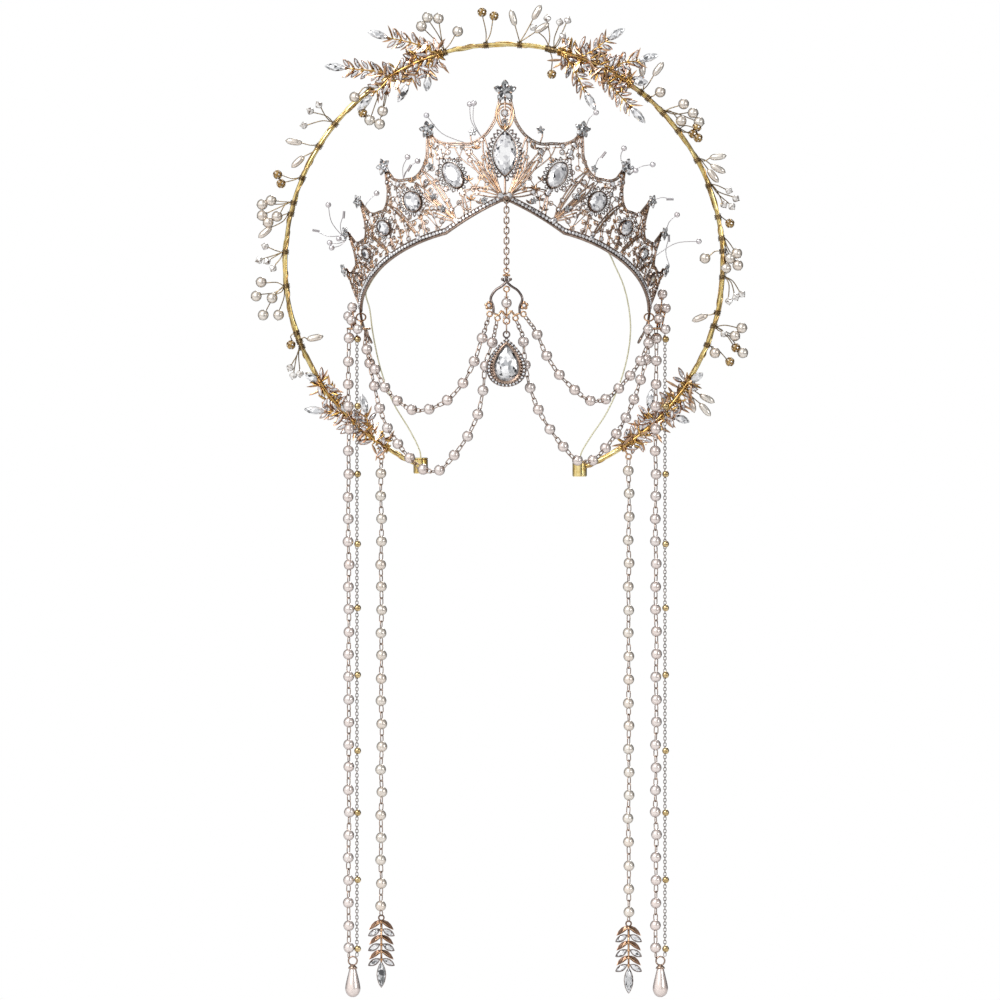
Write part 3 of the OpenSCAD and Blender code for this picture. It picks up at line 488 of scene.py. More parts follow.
GOLD, OLD, YELLOW, BRONZE, AMBER = [metal(*tones, "yellow_gold") for tones in (
    ("warm_gold", (0.44, 0.31, 0.13), (0.80, 0.63, 0.35), (0.22, 0.12, 0.03), (0.12, 0.26)),
    ("darker_gold", (0.19, 0.13, 0.06), (0.46, 0.34, 0.18), (0.15, 0.08, 0.02), (0.16, 0.3)),
    ("yellow_gold", (0.78, 0.53, 0.15), (1.0, 0.86, 0.44), (0.24, 0.11, 0.02), (0.08, 0.2)),
    ("bronze_gold", (0.42, 0.25, 0.09), (0.84, 0.60, 0.27), (0.12, 0.05, 0.01), (0.12, 0.26)),
    ("amber_gold", (0.58, 0.30, 0.07), (0.92, 0.64, 0.24), (0.25, 0.09, 0.01), (0.12, 0.28)))]
# Stones by dark, middle and light painted facet reflection; pearls by middle, edge and outermost
# painted-shade tone
# The first stones take darker painted facet reflections
DARK_STONES = stone("dark_facets", (0.015, 0.015, 0.02), (0.16, 0.17, 0.17), (0.86, 0.86, 0.88), 0.04)
STONE = stone("cut_stone", (0.05, 0.05, 0.06), (0.50, 0.50, 0.53), (0.97, 0.97, 0.98))
WARM = stone("warm_crystal", (0.16, 0.11, 0.08), (0.60, 0.55, 0.51), (0.97, 0.96, 0.94))
FOIL = stone("foiled_stone", (0.005, 0.005, 0.006), (0.45, 0.46, 0.48), (0.98, 0.98, 0.99), 0.01)
PEARL = pearly("pearl", (0.86, 0.79, 0.76), (0.52, 0.45, 0.43), (0.11, 0.09, 0.08))
CREAM = pearly("cream_pearl", (0.88, 0.83, 0.76), (0.52, 0.47, 0.40), (0.10, 0.09, 0.07))
NYLON = pearly("nylon_line", (0.46, 0.44, 0.46), (0.36, 0.34, 0.36), (0.18, 0.16, 0.18))
MILK = pearly("milky_bead", (0.80, 0.78, 0.81), (0.62, 0.59, 0.63), (0.36, 0.33, 0.36))

# Metal pieces of a side or cluster that aren't smooth
FACETED = {"leaf_drop_metal", "leaf_drop_frames", "halo_cap", "leaves", "leaf_frames"}


def stand(name, data):
    obj = bpy.data.objects.new(name, data)
    bpy.context.collection.objects.link(obj)
    return obj


def pieces(label, *rows):
    """Pieces of one side or cluster; a row is name, bag, material and the node that the piece replaces."""
    for name, bag, material, *nodes in rows:
        piece(f"{name}_{label}", bag, material, *(f"{n}_{label}" for n in nodes), flat=name in FACETED)


def piece(name, bag, material, *replaced, body="headpiece", flat=False, slot=None):
    """One piece of the object, in place of nodes of the CAD model; it is smooth unless flat or cut stone."""
    mesh = bpy.data.meshes.new(name)
    mesh.from_pydata((np.vstack(bag.verts) * MM).tolist(), [], bag.faces)
    if not flat and SLOTS[material.name] != "crystal":
        mesh.polygons.foreach_set("use_smooth", [True] * len(mesh.polygons))
    mesh.validate()
    mesh.update()
    mesh.materials.append(material)
    obj = stand(name, mesh)
    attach(obj, body)
    if replaced:
        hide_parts(*replaced)


# Camera, pale floor below what hangs lowest, lamps and sky, in metres

CAMERA_AT, SENSOR, LENS = (-0.00275, -7, -0.1034), 36, 458.2
FLOOR_X, FLOOR_Y, FLOOR_AT = 1.2, 0.5, (0, 0.02, -0.402)
camera = stand("camera", bpy.data.cameras.new("camera"))
camera.location = CAMERA_AT
camera.rotation_euler = (radians(90), 0, 0)
camera.data.sensor_width = SENSOR
camera.data.lens = LENS
camera.data.clip_end = 60
bpy.context.scene.camera = camera
bpy.context.scene.view_settings.view_transform = "Standard"

floor_mesh = bpy.data.meshes.new("floor")
corners = [(-FLOOR_X, -FLOOR_Y, 0), (FLOOR_X, -FLOOR_Y, 0), (FLOOR_X, FLOOR_Y, 0), (-FLOOR_X, FLOOR_Y, 0)]
floor_mesh.from_pydata(corners, [], [(0, 1, 2, 3)])
floor = stand("floor", floor_mesh)
floor.location = FLOOR_AT
floor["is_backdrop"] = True
pale, tree, b = shader("floor_paint", Roughness=0.7)
paint = ramp(tree, speckle(tree, 3), [(0.3, (0.86, 0.86, 0.87)), (0.7, (0.9, 0.9, 0.9))])
feed(b, "Base Color", paint)
floor_mesh.materials.append(pale)

# Lamps by name, place, aim, size and power
for name, at, aim, size, watts in [("key", (-1.3, -2.0, 1.6), (0, 0, -0.1), 1.5, 46),
                                   ("fill", (1.8, -1.6, 0.4), (0, 0, -0.1), 0.9, 10),
                                   ("back", (0.3, 1.8, 1.2), (0, 0, -0.05), 0.9, 16)]:
    lamp = bpy.data.lights.new(name, "AREA")
    lamp.shape, lamp.size, lamp.energy = "DISK", size, watts
    stand(name, lamp).matrix_world = Matrix(place(at, np.subtract(at, aim)).tolist())

world = bpy.data.worlds.new("studio")
bpy.context.scene.world = world
world.use_nodes = True
sky = world.node_tree
view_way = node(sky, "SeparateXYZ", [("Vector", node(sky, "TexCoord").outputs["Generated"])])


def level(axis, stops):
    """Grey levels of the sky along an axis, from its low side at 0 to its high side at 1."""
    at = node(sky, "MapRange", [("Value", view_way.outputs[axis]), ("From Min", -1.0)]).outputs["Result"]
    return ramp(sky, at, [(x, (v, v, v)) for x, v in stops])


sky_y = level("Y", [(0.0, 1.0), (1.0, 0.4), (0.33, 1.0), (0.5, 1.0), (0.62, 0.5), (0.8, 0.2)])
sky_x = level("X", [(0.0, 1.0), (1.0, 0.3), (0.56, 1.0), (0.62, 0.15), (0.76, 0.2), (0.84, 0.6)])
sky_z = level("Z", [(0.0, 0.4), (1.0, 1.0), (0.4, 0.55), (0.5, 0.95), (0.7, 1.0), (0.76, 0.5), (0.84, 0.95)])
studio = product(sky, product(sky, sky_y, sky_x), sky_z)
seen = node(sky, "LightPath").outputs["Is Camera Ray"]
backdrop = node(sky, "Mix", [(0, seen), (6, studio), (7, (1, 1, 1, 1))], data_type="RGBA").outputs[2]
sky.links.new(backdrop, sky.nodes["Background"].inputs["Color"])
sky.nodes["Background"].inputs["Strength"].default_value = 1.0

# Elastic cord: up from one end cap, round the inside of the rim (as angle and height) and down to the other

ELASTIC_D = 0.0008  # in metres
ELASTIC_LEFT = [(-46.6, 35, -81.6), (-46.6, 35, -79), (-47.2, 35, -76), (-49.6, 34.7, -70.5),
                (-54, 33, -62.5), (-62, 28, -49), (-68.5, 19.5, -31.5), (-72.5, 9, -13), (-74.4, -2, 1.5)]
ELASTIC_RIM = [(-80, 1.5), (-74, 1.5), (-66, 1.5), (-57, 1.5), (-48, 1.5), (-39, 1.5), (-30, 1.5),
               (-22, 2.6), (-15, 7), (-8, 11.5), (0, 15.5), (8, 11.5), (15, 7), (22, 2.6), (30, 1.5),
               (38, 1.5), (46, 1.5)]
ELASTIC_RIGHT = [(60.5, -34, 24), (65, -24, 14), (68, -12, 2), (69, 0, -11), (67.3, 12, -25), (63, 22.5, -40),
                 (56, 30.5, -55.5), (48, 34.2, -67.5), (42.8, 35, -76), (41.4, 35, -80.5), (41.3, 35, -83.3)]
route = curve(ELASTIC_LEFT + [shell(a, h, -2) for a, h in ELASTIC_RIM] + ELASTIC_RIGHT, 4)
cord_length = distances(route)[-1] * MM

line = bpy.data.curves.new("elastic", "CURVE")
line.dimensions = "3D"
line.bevel_depth = ELASTIC_D / 2
line.bevel_resolution = 3
spline = line.splines.new("POLY")
spline.points.add(len(route) - 1)
for point, at in zip(spline.points, route):
    point.co = (*(at * MM), 1)
elastic = stand("elastic", line)
braid, tree, b = shader("braided_elastic", Roughness=0.65)
threads = node(tree, "TexWave", [("Vector", place_in(tree)), ("Scale", 420.0), ("Distortion", 2.0)],
               bands_direction="DIAGONAL").outputs["Fac"]
weave = ramp(tree, threads, [(0.2, (0.60, 0.57, 0.36)), (0.8, (0.84, 0.81, 0.58))])
feed(b, "Base Color", weave)
bumped(tree, b, threads, 0.5)
line.materials.append(braid)
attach(elastic, "headpiece")
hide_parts("elastic_cord")

# Tiara: rim, lattice, settings and stones


def rounded(h, t, half_h, half_t, n=10):
    """Rounded section of a band, as heights and depths."""
    return [(h - half_h * x, t + half_t * y) for x, y in circle(n)]


def rim_run(section, bag):
    """Band along the rim and its peak, from its section."""
    angles = np.arange(-90, 90.1, 1.2)
    bag.add(skin([[shell(a, ogee(a) + h, t) for h, t in reversed(section)] for a in angles]))


rim, channel = bags(2)
rim_run(rounded(0.45, 0, 0.55, 0.88), rim)
rim_run(rounded(RIM_H - 0.3, 0.1, 0.34, 0.6, 8), rim)
rim_run([(0.6, -0.7), (0.6, 0.15), (RIM_H - 0.4, 0.15), (RIM_H - 0.4, -0.7)], channel)
for side in (-1, 1):
    section = rounded(ARM_MID, 0, 1.15, 0.7)[::side]
    rim.add(skin([[shell(side * a, h, t) for h, t in section] for a in np.linspace(87.5, ARM_END - 1.5, 14)]))
    m = on_shell(side * ARM_END, ARM_MID)
    eye = [m[:3, :3] @ vec(EYE_R * cos(t), EYE_R * sin(t), 0) + m[:3, 3] for t in np.linspace(0, TURN, 25)]
    rim.add(tube(eye, 1.3, 8))
piece("tiara_rim", rim, BROWN)
piece("tiara_channel", channel, BROWN, flat=True)

lattice, accent, settings, loops, small, large, stars = bags(7)


def line_on(points, d, lift=0.0, n=5, bag=lattice, sides=6):
    """Wire through points of angle and height, smoothed and put on the shell."""
    bag.add(tube([shell(a, h, lift) for a, h in curve(points, n)], d, sides))


def rails(points, gap=1.0, d=0.85):
    """Two round wires side by side along an outline, with beads between them."""
    q = curve(points, 5)
    on = [shell(a, h) for a, h in q]
    for k in (-1, 1):
        rail = [p + k * gap / 2 * np.cross(face(a), t) for p, t, (a, h) in zip(on, directions(on), q)]
        lattice.add(tube(rail, d, 6))
    for p, t in spaced(on, 2.6, 1.5):
        lattice.add(STUD, place(p, t), 0.5)


def petal_wires(a, b, swell, bow=0.0, d=0.95):
    """Two wires that bulge apart between two places, with a vein between them."""
    a, b = vec(*a), vec(*b)
    width = radians(shell_radius(a[1]))
    run = unit((b - a) * (width, 1))
    across = swell * width * vec(run[1] / width, -run[0])
    for k in (-1, 1):
        line_on([mix(a, b, 0.02) + 0.2 * k * across, mix(a, b, 0.35) + (bow, 0) + k * across,
                 mix(a, b, 0.75) + (bow, 0) + k * across, b], d, 0.1 * k)
    vein = [mix(a, b, 0.05), mix(a, b, 0.45) + (bow, 0), mix(a, b, 0.75) + (bow, 0)]
    line_on(vein, d * 0.75, 0.3, bag=accent)


def flower(m, d):
    """Small flower of five pointed stones round a centre stone, d across."""
    for k in range(5):
        q = shifted(m, turn=72 * k)
        stars.add(PETAL_STONE, shifted(q, y=d * 0.3), d * 0.175)
        settings.add(STUD, shifted(q, y=d * 0.49, z=0.1), d * 0.06)
        settings.add(STUD, shifted(shifted(m, turn=72 * (k + 0.5)), y=d * 0.27, z=0.1), d * 0.07)
    stars.add(ROUND_STONE, shifted(m, z=0.25), d * 0.36 / 2)
    cup = lathe([(0.1, -0.9), (d * 0.2, -0.85), (d * 0.36, -0.35), (d * 0.3, -0.2), (0.1, -0.2)], 10)
    settings.add(cup, m)


BEZEL = [(0.12, 0.7), (0.42, 0.8), (0.75, 0.1), (0.7, -1.3), (0.2, -1.3)]


def claws(m, outline, w, l, pitch, size):
    """Bezel round a big stone, and the open loops that stand round it."""
    settings.add(bezel(outline, w, l, 48, BEZEL), m)
    edge = outlined(outline, w, l, 48)
    for p, t in spaced(edge + edge[:1], pitch * size)[:-1]:
        o = unit(np.cross(t, (0, 0, 1)))
        o = o if np.dot(o, p) > 0 else -o
        q = place(p + (0.7 + 0.85 * size) * o + (0, 0, 0.1), (0, 0, 1), o)
        loops.add(CLAW, m @ q, size)
        loops.add(STUD, m @ shifted(q, x=0.85 * size, z=0.15), 0.44 * size)
        settings.add(STUD, m @ shifted(q, x=-0.8 * size - 0.55, z=0.65), 0.34)


def tip_before(k):
    return (0.4, CENTRE_TIP) if k == 0 else BAYS[k - 1][2:4]


def nearby(a, h, x, y):
    """Angle and height a few millimetres along the shell from another place on it."""
    return a + degrees(x / shell_radius(h)), h + y


def curl(a, h, size, turn, bag):
    """Spiral of wire."""
    points = []
    for u in np.linspace(0, 1, 11):
        r = size * (1.05 - 0.68 * u)
        points.append(nearby(a, h, r * cos(turn + 9 * u), r * sin(turn + 9 * u)))
    line_on(points, 0.62, 0.25, 1, bag, 5)


def ringed(a, h, d, bag):
    """Set stone with a wire ring round it."""
    m = on_shell(a, h, 0, 0.35)
    bag.add(torus(d / 2 + 0.55, 0.5, 12, 5), m @ place((0, 0, 0), (0, 1, 0)))
    set_stone(settings, small, shifted(m, z=0.2), d)


# Filigree of each bay: least distance between its parts, their size, and the share in the brighter metal
FILIGREE = [(5.6, 1.7, 0.2), (4.0, 1.6, 0.35), (3.1, 1.4, 0.5), (2.7, 1.25, 0.6), (2.4, 1.1, 0.6)]


def filigree(k, outline):
    """Curls, ringed stones and small leaves over what the big stone and the petals of a bay leave open."""
    ta, (sa, sh, sw, sl, lean) = BAYS[k][2], BAYS[k][4:]
    first = tip_before(k)[0] if k else 7
    apart, size, bright = FILIGREE[k]
    c, s = cos(radians(lean)), sin(radians(lean))
    taken = []
    for _ in range(900):
        a = draw(first, ta + (2.5 if k == 4 else 0))
        top = np.interp(a, [p[0] for p in outline], [p[1] for p in outline])
        low = rim_top(a) + 1.2
        if top - low < 2.4:
            continue
        h = draw(low, top - 1.4)
        x, y = radians(a - sa) * shell_radius(h), h - sh
        if ((x * c - y * s) / (sw / 2 + 2.9)) ** 2 + ((x * s + y * c) / (sl / 2 + 2.9)) ** 2 < 1:
            continue
        here = shell(a, h)
        if any(norm(here - q[2]) < apart for q in taken):
            continue
        near = min(taken, key=lambda q: norm(here - q[2])) if taken else (a, rim_top(a), here)
        taken.append((a, h, here))
        kind = rng.choice("cccrrl")  # curl, ringed stone or leaves
        for side in (-1, 1):
            bag = accent if rng.random() < bright else lattice
            if kind == "c":
                curl(side * a, h, size, draw(0, 6), bag)
            elif kind == "r":
                ringed(side * a, h, size * 1.15, bag)
            else:
                for turn in (-50, 10, 70):
                    bag.add(leaf(size * 1.9, size * 0.75, 0.4, 0.3), on_shell(side * a, h, turn, 0.3))
            bend = draw(-0.8, 0.8), draw(-0.8, 0.8)
            middle = nearby((a + near[0]) / 2, (h + near[1]) / 2, *bend)
            line_on([(side * q[0], q[1]) for q in (near, middle, (a, h))], 0.55, 0, 3, bag, 5)


def bay(side, k):
    """One scallop with its petals, struts, big stone and tip flower; f shrinks with the bay's height."""
    va, vh, ta, th, sa, sh, sw, sl, lean = BAYS[k]
    f = th / BAYS[0][3]
    before = tip_before(k)
    down = [(mix(before[0], va, u), mix(vh, before[1], v)) for u, v in SCALLOP_IN]
    outline = [before] + down + [(mix(va, ta, u), mix(vh, th, v)) for u, v in SCALLOP_OUT]

    def strut(points, d, bag=lattice):
        line_on([(side * a, h) for a, h in points], d, bag=bag)

    def petal(a, b, swell, bow=0.0):
        petal_wires((side * a[0], a[1]), (side * b[0], b[1]), swell, side * bow)

    rails([(side * a, h) for a, h in outline])
    if side == 1:
        filigree(k, outline)
    root_a = 1.5 if k == 0 else BAYS[k - 1][4] + 0.5
    root = vec(root_a, rim_top(root_a) + 0.2)
    foot = vec(sa - sl * 0.16, sh - sl / 2 - 2.2 * f)
    petal(root, (down[3][0] + 0.3, down[3][1]), 0.9 * f, 0.8 if k == 0 else -1.2 * f)
    if k < 2:
        petal(root, (va - 3.2, vh - 4.5 * f), 1.1 * f, 0.9 * f)
        petal(root, (va - 6.2, vh - 14 * f), 0.7 * f, 0.5 * f)
        petal(root, foot + (-3.4 * f, 0.6), 1.3 * f)
        strut([foot + (-3.4 * f, 0.6), foot + (0, 0.4)], 0.8)
        strut([root + (0.6, 1), root + (4.2 * f, 9 * f), (va - 0.6, vh - 9 * f), (va + 1.5, vh - 1)], 0.75)
    strut([foot + (0.2, 2.2 * f - 0.5), foot, (foot[0] - 0.3, rim_top(foot[0] - 0.3))], 0.9)
    if k < 3:
        strut([foot + (-0.2, 0.6), (foot[0] - 2 * f, rim_top(foot[0] - 2 * f))], 0.85)
    strut([(mix(sa, ta, 0.42), mix(sh, th, 0.36)), (ta, th)], 0.85)
    strut([(va + 0.5, vh - 2.2), (mix(va, ta, 0.5), mix(vh, th, 0.12) - 1.2), (ta - 0.6, th - 3)], 0.6,
          accent)
    for a, h, d in [(root[0], root[1], 3.4 * f + 0.4), (foot[0], foot[1], 2.4 * f + 0.6),
                    (mix(sa, ta, 0.55), mix(sh, th, 0.5), 3 * f + 0.5)]:
        set_stone(settings, small, on_shell(side * a, h, 0, 0.5), d)
    m = on_shell(side * sa, sh, side * lean)
    large.add(brilliant(oval, sw, sl, 10 if k < 2 else 7, sw * 0.24, sw * 0.26), m)
    claws(m, oval, sw, sl, 1.75, 1.2 if k < 2 else 0.9 if k == 2 else 0.65)
    flower(on_shell(side * ta, th, 0, 2.1), 9.0 if k < 2 else 7.2)
    settings.add(tube([shell(side * ta, th, -0.4), shell(side * ta, th, 1.9)], 1.4, 8))


# Wires beside each half of the crown, as points of angle and height, thickness and bag
EDGES = [([(84.5, 24.4), (86.5, 17), (88, 10), (88.5, 2)], 1.1, lattice),
         ([(0, 70.4), (1.5, 69.6), (2.6, 66.5), (2.5, 62), (1.7, 58), (0.7, 55.6)], 1.15, accent),
         ([(0, 68.6), (1.2, 67.8), (1.9, 65.2), (1.6, 61.5), (1.1, 58.5)], 0.75, accent)]
for side in (-1, 1):
    for k in range(len(BAYS)):
        bay(side, k)
    for points, d, bag in EDGES:
        line_on([(side * a, h) for a, h in points], d, bag=bag)
    accent.add(leaf(4.2, 1.7, 0.6, 0.6), on_shell(side * 0.3, 54.6, side * -38, 0.4))
    # fan below the centre stone
    for a, h, swell, bow in [(4.6, 30.5, 0.5, 0.4), (7.4, 40, 0.8, 0.6)]:
        petal_wires((side * 1.2, OGEE_H + 3.4), (side * a, h), swell, side * bow)
    for a, h in [(5.2, 32.5), (7.2, 40), (9.2, 47.8), (6.4, 24.5)]:
        ringed(side * a, h, 1.7, accent)

m = on_shell(0, MARQUISE_H)
large.add(brilliant(marquise, MARQUISE_W, MARQUISE_L, 12, 2.5, 2.6), m)
claws(m, marquise, MARQUISE_W, MARQUISE_L, 1.7, 1.45)
line_on([(0, OGEE_H + RIM_H - 1), (0, MARQUISE_H - MARQUISE_L / 2 - 0.8)], 1.2)
line_on([(0, MARQUISE_H + MARQUISE_L / 2 + 0.6), (0, CENTRE_TIP - 2)], 1.1)
flower(on_shell(0, CENTRE_TIP - 2.2, 0, 2.1), 11.8)
settings.add(tube([shell(0, CENTRE_TIP - 2.2, -0.4), shell(0, CENTRE_TIP - 2.2, 1.9)], 1.6, 8))
accent.add(leaf(4, 1.6, 0.6, 0.6), on_shell(0, 54.8, 0, 0.4))
peg = shell(0, OGEE_H + 1)
settings.add(tube([vec(DROP_X, peg[1], peg[2]), vec(DROP_X, DROP_Y - 1, peg[2])], 0.9, 10))
settings.add(BALL, place(vec(DROP_X, DROP_Y - 1.2, peg[2]), (0, -1, 0)), 0.95)
# Collets, as angle, height and diameter: on both sides, in the middle, and small flowers
for a, h, d in [(15.5, 21, 2.6), (10.3, 20.5, 2.4), (22.8, 51.5, 2.4), (21.6, 44.7, 2.8), (28.5, 31.9, 2.6),
                (12, 43.7, 2.8), (19.1, 49.3, 2.2)]:
    for side in (-1, 1):
        ringed(side * a, h, d, lattice)
for h, d in ((64.8, 3.3), (59.8, 2.8)):
    ringed(0, h, d, settings)
for a, h, d in [(-10.4, 54.8, 4.6), (-26, 40.1, 4.2), (11.3, 56.1, 4.6), (31.3, 41.4, 4.2), (-7.6, 15.6, 4),
                (10.6, 15.7, 4), (-26.7, 22.9, 4), (-23.7, 14.5, 4), (26.7, 22.9, 4), (23.7, 14.5, 4)]:
    flower(on_shell(a, h, 0, 0.9), d)
for a, h in [(-10.4, 54.8), (11.3, 56.1), (31.3, 41.4)]:
    line_on([(a, h), (a + copysign(0.8, a), h - 2.5), (a + copysign(0.3, a), h - 6.6)], 0.8, 0.2)

pave, beads = bags(2)
ROW_H, ROW_STEP = 2.15, 2.15
angles = [i * 0.5 for i in range(-178, 179)]
run = distances([shell(a, ogee(a) + ROW_H, 0.45) for a in angles])
for s in np.linspace(0, run[-1], round(run[-1] / ROW_STEP) + 1):
    a = float(np.interp(s, run, angles))
    tangent = shell(a + 0.5, ogee(a + 0.5)) - shell(a - 0.5, ogee(a - 0.5))
    m = place(shell(a, ogee(a) + ROW_H, 0.4), face(a), tangent)
    pave.add(ROUND_STONE, m, 1.0)
    for k in (-1, 1):
        beads.add(STUD, shifted(m, x=1.07, y=k * 0.8, z=0.2), 0.3)
piece("tiara_lattice", lattice, ROSE, "tiara_frame")
piece("tiara_accents", accent, COPPER)
piece("tiara_settings", settings, ROSE, flat=True)
piece("tiara_claws", loops, DUSKY)
piece("tiara_stars", stars, DARK_STONES)
piece("tiara_rim_beads", beads, BROWN)
piece("tiara_rim_stones", pave, STONE)
piece("tiara_small_stones", small, STONE, "tip_stones")
piece("tiara_large_stones", large, STONE, "centre_marquise",
      *(f"oval_stone_{label}_{k}" for label in LABELS for k in range(1, 6)))

# Forehead chain, chandelier and pendant; x is counted from the drop's middle line

LINK_L, LINK_W, LINK_WIRE, PLAY = 4.6, 3.3, 0.75, 0.3
LINKS = 14


def linkage(bag, a, b, pitch=3.0, w=2.9, wire=0.6, turn=0, spread=33):
    """Links from a to b, each turned a quarter from the one before."""
    n = max(1, round(norm(b - a) / pitch))
    step = (b - a) / n
    shape = link(norm(step) + 2.3 * wire, w, wire)
    x = unit(np.cross(vec(0, -1, 0.01), step))
    y = np.cross(unit(step), x)
    for i in range(n):
        about = radians(spread - 90 * ((i + turn) % 2) + 12 * sin(9 * a[2]))
        bag.add(shape, place(a + step * (i + 0.5), step, cos(about) * x + sin(about) * y))


def drop_point(x, z):
    return vec(DROP_X + x, DROP_Y, z)


def hang(bag, shape, x, z, scale=1.0):
    bag.add(shape, upright(drop_point(x, z)), scale)


def facing_front(p):
    return place(p, FRONT)


chain = Bag()
pitch = LINK_L - 2 * LINK_WIRE - PLAY
first = peg[2] + 0.45 + PLAY - LINK_L / 2 + LINK_WIRE
shape = link(LINK_L, LINK_W, LINK_WIRE, 24, 8)
for i in range(LINKS):
    turn = radians(90 * (i % 2))
    chain.add(shape, place(drop_point(0, first - i * pitch), (0, 0, 1), (cos(turn), sin(turn), 0)))
piece("forehead_links", chain, ROSE, "forehead_chain")

CHAND_SIDE = [(0, 15.5), (2.6, 13.2), (6.3, 10.6), (8.6, 6.4), (7.2, 2), (7.2, -1.6)]
CHAND_FOOT = [(7.2, -1.6), (4.4, -2.4), (2.6, -0.6), (1.2, -1.8), (0, -3.8)]
CHAND_HORN = [(0, 15.6), (1.5, 16), (2.1, 16.9)]
CHAND_RINGS = [(0, 11.6, 1.5), (0, -5.8, 1.7), (-4.9, -4.2, 1.4), (4.9, -4.2, 1.4), (-9.2, -2, 1.4),
               (9.2, -2, 1.4)]
EYE_Z = first - (LINKS - 1) * pitch - LINK_L / 2 + LINK_WIRE + 0.4 - 1.05
chandelier, arms, sparks = bags(3)
for side in (-1, 1):
    for way, bag, d in ((CHAND_SIDE, arms, 1.45), (CHAND_FOOT, chandelier, 1.15)):
        bag.add(tube(curve([drop_point(side * x, z) for x, z in way], 6), d, 8))
    hang(arms, BALL, side * 2.1, 16.9, 0.95)
    arms.add(tube(curve([drop_point(side * x, z) for x, z in CHAND_HORN], 4), 0.9, 7))
    for k in range(5):
        m = shifted(facing_front(drop_point(side * 9.6, 2.6)), turn=72 * k)
        chandelier.add(BEAD, shifted(m, y=1.5) @ np.diag([1, 1, 0.55, 1]), 1.1)
    for x, z, lift, d in ((9.6, 2.6, 0.5, 2.1), (1.2, -3.6, 0.4, 1.6)):
        set_stone(chandelier, sparks, facing_front(drop_point(side * x, z) - (0, lift, 0)), d)
    for k in range(4):
        hang(chandelier, BEAD, side * (2.6 + 0.9 * cos(k * 1.2)), -1.3 + 0.9 * sin(k * 1.2), 0.62)
hang(arms, lathe([(0.3, 15.2), (1.0, 15.7), (0.85, 17), (1.1, 18), (0.3, 18.6)], 12), 0, 0)
for x, z, r in CHAND_RINGS:
    hang(chandelier, torus(r, 0.9), x, z)
hang(chandelier, torus(1.4, 0.7), 0, EYE_Z)
chandelier.add(tube([drop_point(0, EYE_Z - 1.4), drop_point(0, 15.2)], 0.95, 8))
for x, r in ((0, 1.05), (-1.35, 0.75), (1.35, 0.75)):
    hang(chandelier, BEAD if x else BALL, x, EYE_Z - 2.55, r)
chandelier.add(tube([drop_point(0, 10.2), drop_point(0, -3.9)], 0.8, 8))
for z in (7.25, 0.8):
    hang(chandelier, lathe([(0.3, -0.35), (1.3, -0.2), (1.3, 0.2), (0.3, 0.35)], 12), 0, z)
piece("chandelier_arms", arms, DUSKY)
piece("chandelier", chandelier, COPPER, "chandelier_frame")
piece("chandelier_stones", sparks, STONE)
centre_pearl = Bag()
hang(centre_pearl, BALL_FINE, 0, 4, 2.85)
piece("chandelier_bead", centre_pearl, PEARL, "chandelier_pearl")

hanger = Bag()
low, high = -11.5 - 0.45 - PLAY, -5.8 - 1.7 + 0.45 + PLAY
hanger.add(link(high - low + 2 * LINK_WIRE, 3.8, LINK_WIRE, 24, 8),
           place(drop_point(0, (low + high) / 2), (0, 0, 1), (0, 1, 0)))
piece("pendant_hanger", hanger, ROSE, "pendant_link")

PENDANT_W, PENDANT_L, PENDANT_Z = 22, 26.4, -15.4 - 13.2
PEAR_W, PEAR_L = 13.6, 20.2
BEAD_STEP, STONE_STEP, STONE_D = 1.62, 1.95, 1.55
# Section of the border, as the share of the way outward and height
BORDER = [(0, 1.9), (0.1, 2.1), (0.16, 1.5), (0.9, 1.3), (0.96, 1.6), (1, 1.3), (1, -1.3), (0.93, -1.65),
          (0, -1.65)]
border, border_beads, border_stones, drop_stone = bags(4)
mid = facing_front(drop_point(0, PENDANT_Z))
inner = outlined(pear, PEAR_W + 0.4, PEAR_L + 0.4, 48)
outer = outlined(pear, PENDANT_W - 0.2, PENDANT_L - 0.2, 48)
rings = [[mix(p, q, u) + (0, 0, z) for u, z in BORDER] for p, q in zip(inner, outer)]
border.add(skin(rings, closed=True), mid)
edges = list(zip(inner + inner[:1], outer + outer[:1]))
for p, t in spaced([mix(p, q, 0.3) for p, q in edges], BEAD_STEP)[:-1]:
    border_beads.add(BEAD, shifted(mid, p[0], p[1], 1.65), 0.78)
for p, t in spaced([mix(p, q, 0.68) for p, q in edges], STONE_STEP)[:-1]:
    m = shifted(mid, p[0], p[1], 1.55)
    border_stones.add(ROUND_STONE, m, STONE_D / 2)
    for k in (-1, 1):
        border_beads.add(STUD, shifted(m, t[0] * STONE_STEP / 2 + k * t[1] * 0.75,
                                       t[1] * STONE_STEP / 2 - k * t[0] * 0.75, 0.1), 0.42)
for w, d in ((1.25, 0.9), (0.25, 0.55)):
    ring = outlined(pear, PEAR_W + w, PEAR_L + w, 48)
    border_beads.add(tube([q + (0, 0, 2.0) for q in ring + ring[:1]], d, 7), mid)
hang(border, torus(1.7, 0.9), 0, -13.2)
border.add(tube([drop_point(0, -14.8), drop_point(0, -16.2)], 1.7, 10))
drop_stone.add(brilliant(pear, PEAR_W, PEAR_L, 14, 1.9, 1.7), mid)
# The border plate's darker metal is partly its own tone and partly painted shade in the gaps between its
# beads and stones
piece("pendant_border", border, DUSKY, "pendant_frame", body="pendant", flat=True)
piece("pendant_border_beads", border_beads, ROSE, body="pendant")
piece("pendant_border_stones", border_stones, STONE, body="pendant")
piece("pendant_drop_stone", drop_stone, FOIL, "pendant_stone", body="pendant")

# Swags, strands and fine chains; pairs are for the left and the right side

